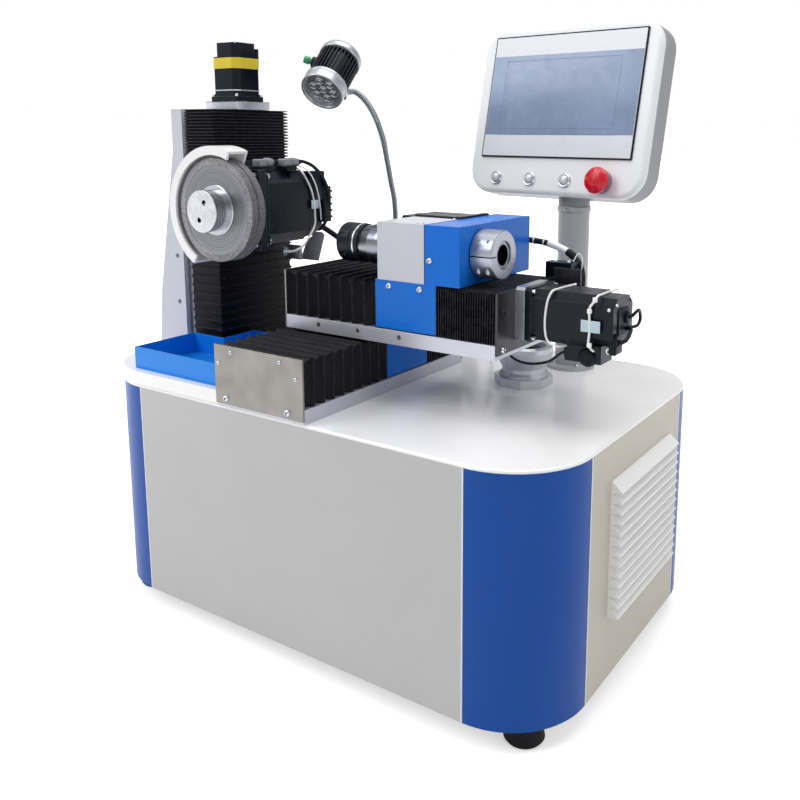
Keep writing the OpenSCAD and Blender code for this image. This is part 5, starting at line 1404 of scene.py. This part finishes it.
# World: strength for diffuse rays; for glossy ones, the middle of the dim band, where it starts and ends
# to clear on either side, and its strength
WORLD_FILL = .37
BAND_MIDDLE, BAND_FROM, BAND_TO, BAND_STRENGTH = .45, .04, .36, .32
# Floor: share that glossy rays see, and the glow at its near and far distance in metres
FLOOR_MIRRORED = .8
GLOW_NEAR, GLOW_FAR = (.75, .5), (1.9, 1.2)
# Camera: place, directions, focal length and optical centre in pixels of a square picture
CAMERA_PLACE = (1193.7, -794.9, 706.6)
CAMERA_RIGHT = Vector((.83976, .54294, .00405))
CAMERA_UP = Vector((-.09606, .14123, .98531))
CAMERA_FORWARD = Vector((-.53439, .82781, -.17075))
PICTURE = 800
FOCAL = 864.2
CENTRE_X, CENTRE_Y = 458.0, 281.7
SENSOR = 36


def seen_white(tree, rays, glossy):
    """Strength of the white background: whole for camera and transmission rays, a share for glossy ones."""
    mirrored = math_node(tree, "MULTIPLY", rays["Is Glossy Ray"], glossy)
    direct = math_node(tree, "MAXIMUM", rays["Is Camera Ray"], mirrored)
    return math_node(tree, "MAXIMUM", direct, rays["Is Transmission Ray"])


def floor_finish():
    """Pale matt floor that turns white away from the machine and keeps its shadow."""
    mat = bpy.data.materials.new("floor")
    mat.use_nodes = True
    t = mat.node_tree
    shader = principled(mat)
    tone = node(t, "ShaderNodeGroup", {"Scale": 3.0}, node_tree=shared("spray"))
    t.links.new(mix(t, tone.outputs["Tone"], (.86, .86, .865, 1), (.9, .9, .9, 1)),
                shader.inputs["Base Color"])
    shader.inputs["Roughness"].default_value = .55
    seen = seen_white(t, node(t, "ShaderNodeLightPath").outputs, FLOOR_MIRRORED)
    away = node(t, "ShaderNodeVectorMath", {0: coords(t)}, operation="LENGTH").outputs["Value"]
    shader.inputs["Emission Color"].default_value = (1, 1, 1, 1)
    (near, dim), (far, full) = GLOW_NEAR, GLOW_FAR
    glow = math_node(t, "MULTIPLY", seen, remap(t, away, near, far, dim, full))
    t.links.new(glow, shader.inputs["Emission Strength"])
    return mat


def studio_world(scene):
    """White studio, with a dimmer band that gives the unpainted metal its dark reflections."""
    scene.world = bpy.data.worlds.new("studio")
    scene.world.use_nodes = True
    t = scene.world.node_tree
    back = t.nodes["Background"]
    rays = node(t, "ShaderNodeLightPath").outputs
    up = node(t, "ShaderNodeSeparateXYZ", {0: node(t, "ShaderNodeTexCoord").outputs["Generated"]}).outputs[2]
    off_band = math_node(t, "ABSOLUTE", math_node(t, "SUBTRACT", up, BAND_MIDDLE))
    seen = seen_white(t, rays, remap(t, off_band, BAND_FROM, BAND_TO, BAND_STRENGTH, 1.0))
    back.inputs["Color"].default_value = (1, 1, 1, 1)
    t.links.new(math_node(t, "MAXIMUM", seen, WORLD_FILL), back.inputs["Strength"])


class GRINDER_OT_stage(bpy.types.Operator):
    """Lays the floor and sets the lights and the camera"""
    bl_idname = "grinder.stage"
    bl_label = "Stage"
    bl_options = {"REGISTER", "UNDO"}

    def execute(self, context):
        scene = bpy.context.scene
        scene.view_settings.view_transform = "Standard"
        mesh = bpy.data.meshes.new("floor")
        bm = bmesh.new()
        bmesh.ops.create_grid(bm, x_segments=8, y_segments=8, size=30)
        bm.to_mesh(mesh)
        bm.free()
        floor = bpy.data.objects.new("floor", mesh)
        scene.collection.objects.link(floor)
        mesh.materials.append(floor_finish())
        studio_world(scene)
        for name, where, aim, size, power in LIGHTS:
            light = bpy.data.lights.new(name, "AREA")
            light.shape = "SQUARE"
            light.size = size
            light.energy = power
            lamp = bpy.data.objects.new(name, light)
            lamp.location = where
            lamp.rotation_euler = (Vector(aim) - Vector(where)).to_track_quat("-Z", "Y").to_euler()
            scene.collection.objects.link(lamp)
        camera = bpy.data.objects.new("camera", bpy.data.cameras.new("camera"))
        scene.collection.objects.link(camera)
        turn = Matrix((CAMERA_RIGHT, CAMERA_UP, -CAMERA_FORWARD)).transposed().to_4x4()
        camera.matrix_world = Matrix.Translation(at(*CAMERA_PLACE)) @ turn
        camera.data.sensor_width = SENSOR
        camera.data.lens = FOCAL * SENSOR / PICTURE
        camera.data.shift_x = -(CENTRE_X - PICTURE / 2) / PICTURE
        camera.data.shift_y = -(PICTURE / 2 - CENTRE_Y) / PICTURE
        scene.camera = camera
        return {"FINISHED"}


# ---------- Add-on ----------

OPERATORS = (GRINDER_OT_cabinet, GRINDER_OT_slides, GRINDER_OT_motors, GRINDER_OT_workhead,
             GRINDER_OT_grinding_unit,
             GRINDER_OT_motor_cables, GRINDER_OT_plug_block, GRINDER_OT_cross_leads,
             GRINDER_OT_grinding_leads,
             GRINDER_OT_fixed_leads, GRINDER_OT_panel, GRINDER_OT_cable_entry, GRINDER_OT_lamp,
             GRINDER_OT_gooseneck,
             GRINDER_OT_stage)


class GRINDER_PT_sidebar(bpy.types.Panel):
    """Lists the pieces of the grinder with their sizes and colours"""
    bl_idname = "GRINDER_PT_sidebar"
    bl_label = "Wet Tool Grinder"
    bl_space_type = "VIEW_3D"
    bl_region_type = "UI"
    bl_category = "Grinder"

    def draw(self, context):
        for group in (context.scene.grinder_sizes, context.scene.grinder_colours):
            box = self.layout.box()
            for key in group.bl_rna.properties.keys():
                if key not in ("rna_type", "name"):
                    box.prop(group, key)
        for operator in OPERATORS:
            self.layout.operator(operator.bl_idname)


CLASSES = (GrinderSizes, GrinderColours, *OPERATORS, GRINDER_PT_sidebar)


def register():
    for c in CLASSES:
        bpy.utils.register_class(c)
    bpy.types.Scene.grinder_sizes = bpy.props.PointerProperty(type=GrinderSizes)
    bpy.types.Scene.grinder_colours = bpy.props.PointerProperty(type=GrinderColours)


def unregister():
    del bpy.types.Scene.grinder_colours
    del bpy.types.Scene.grinder_sizes
    for c in reversed(CLASSES):
        bpy.utils.unregister_class(c)


def main():
    register()
    for operator in OPERATORS:
        group, name = operator.bl_idname.split(".")
        getattr(getattr(bpy.ops, group), name)()
    bpy.context.view_layer.update()


if __name__ == "__main__":
    main()
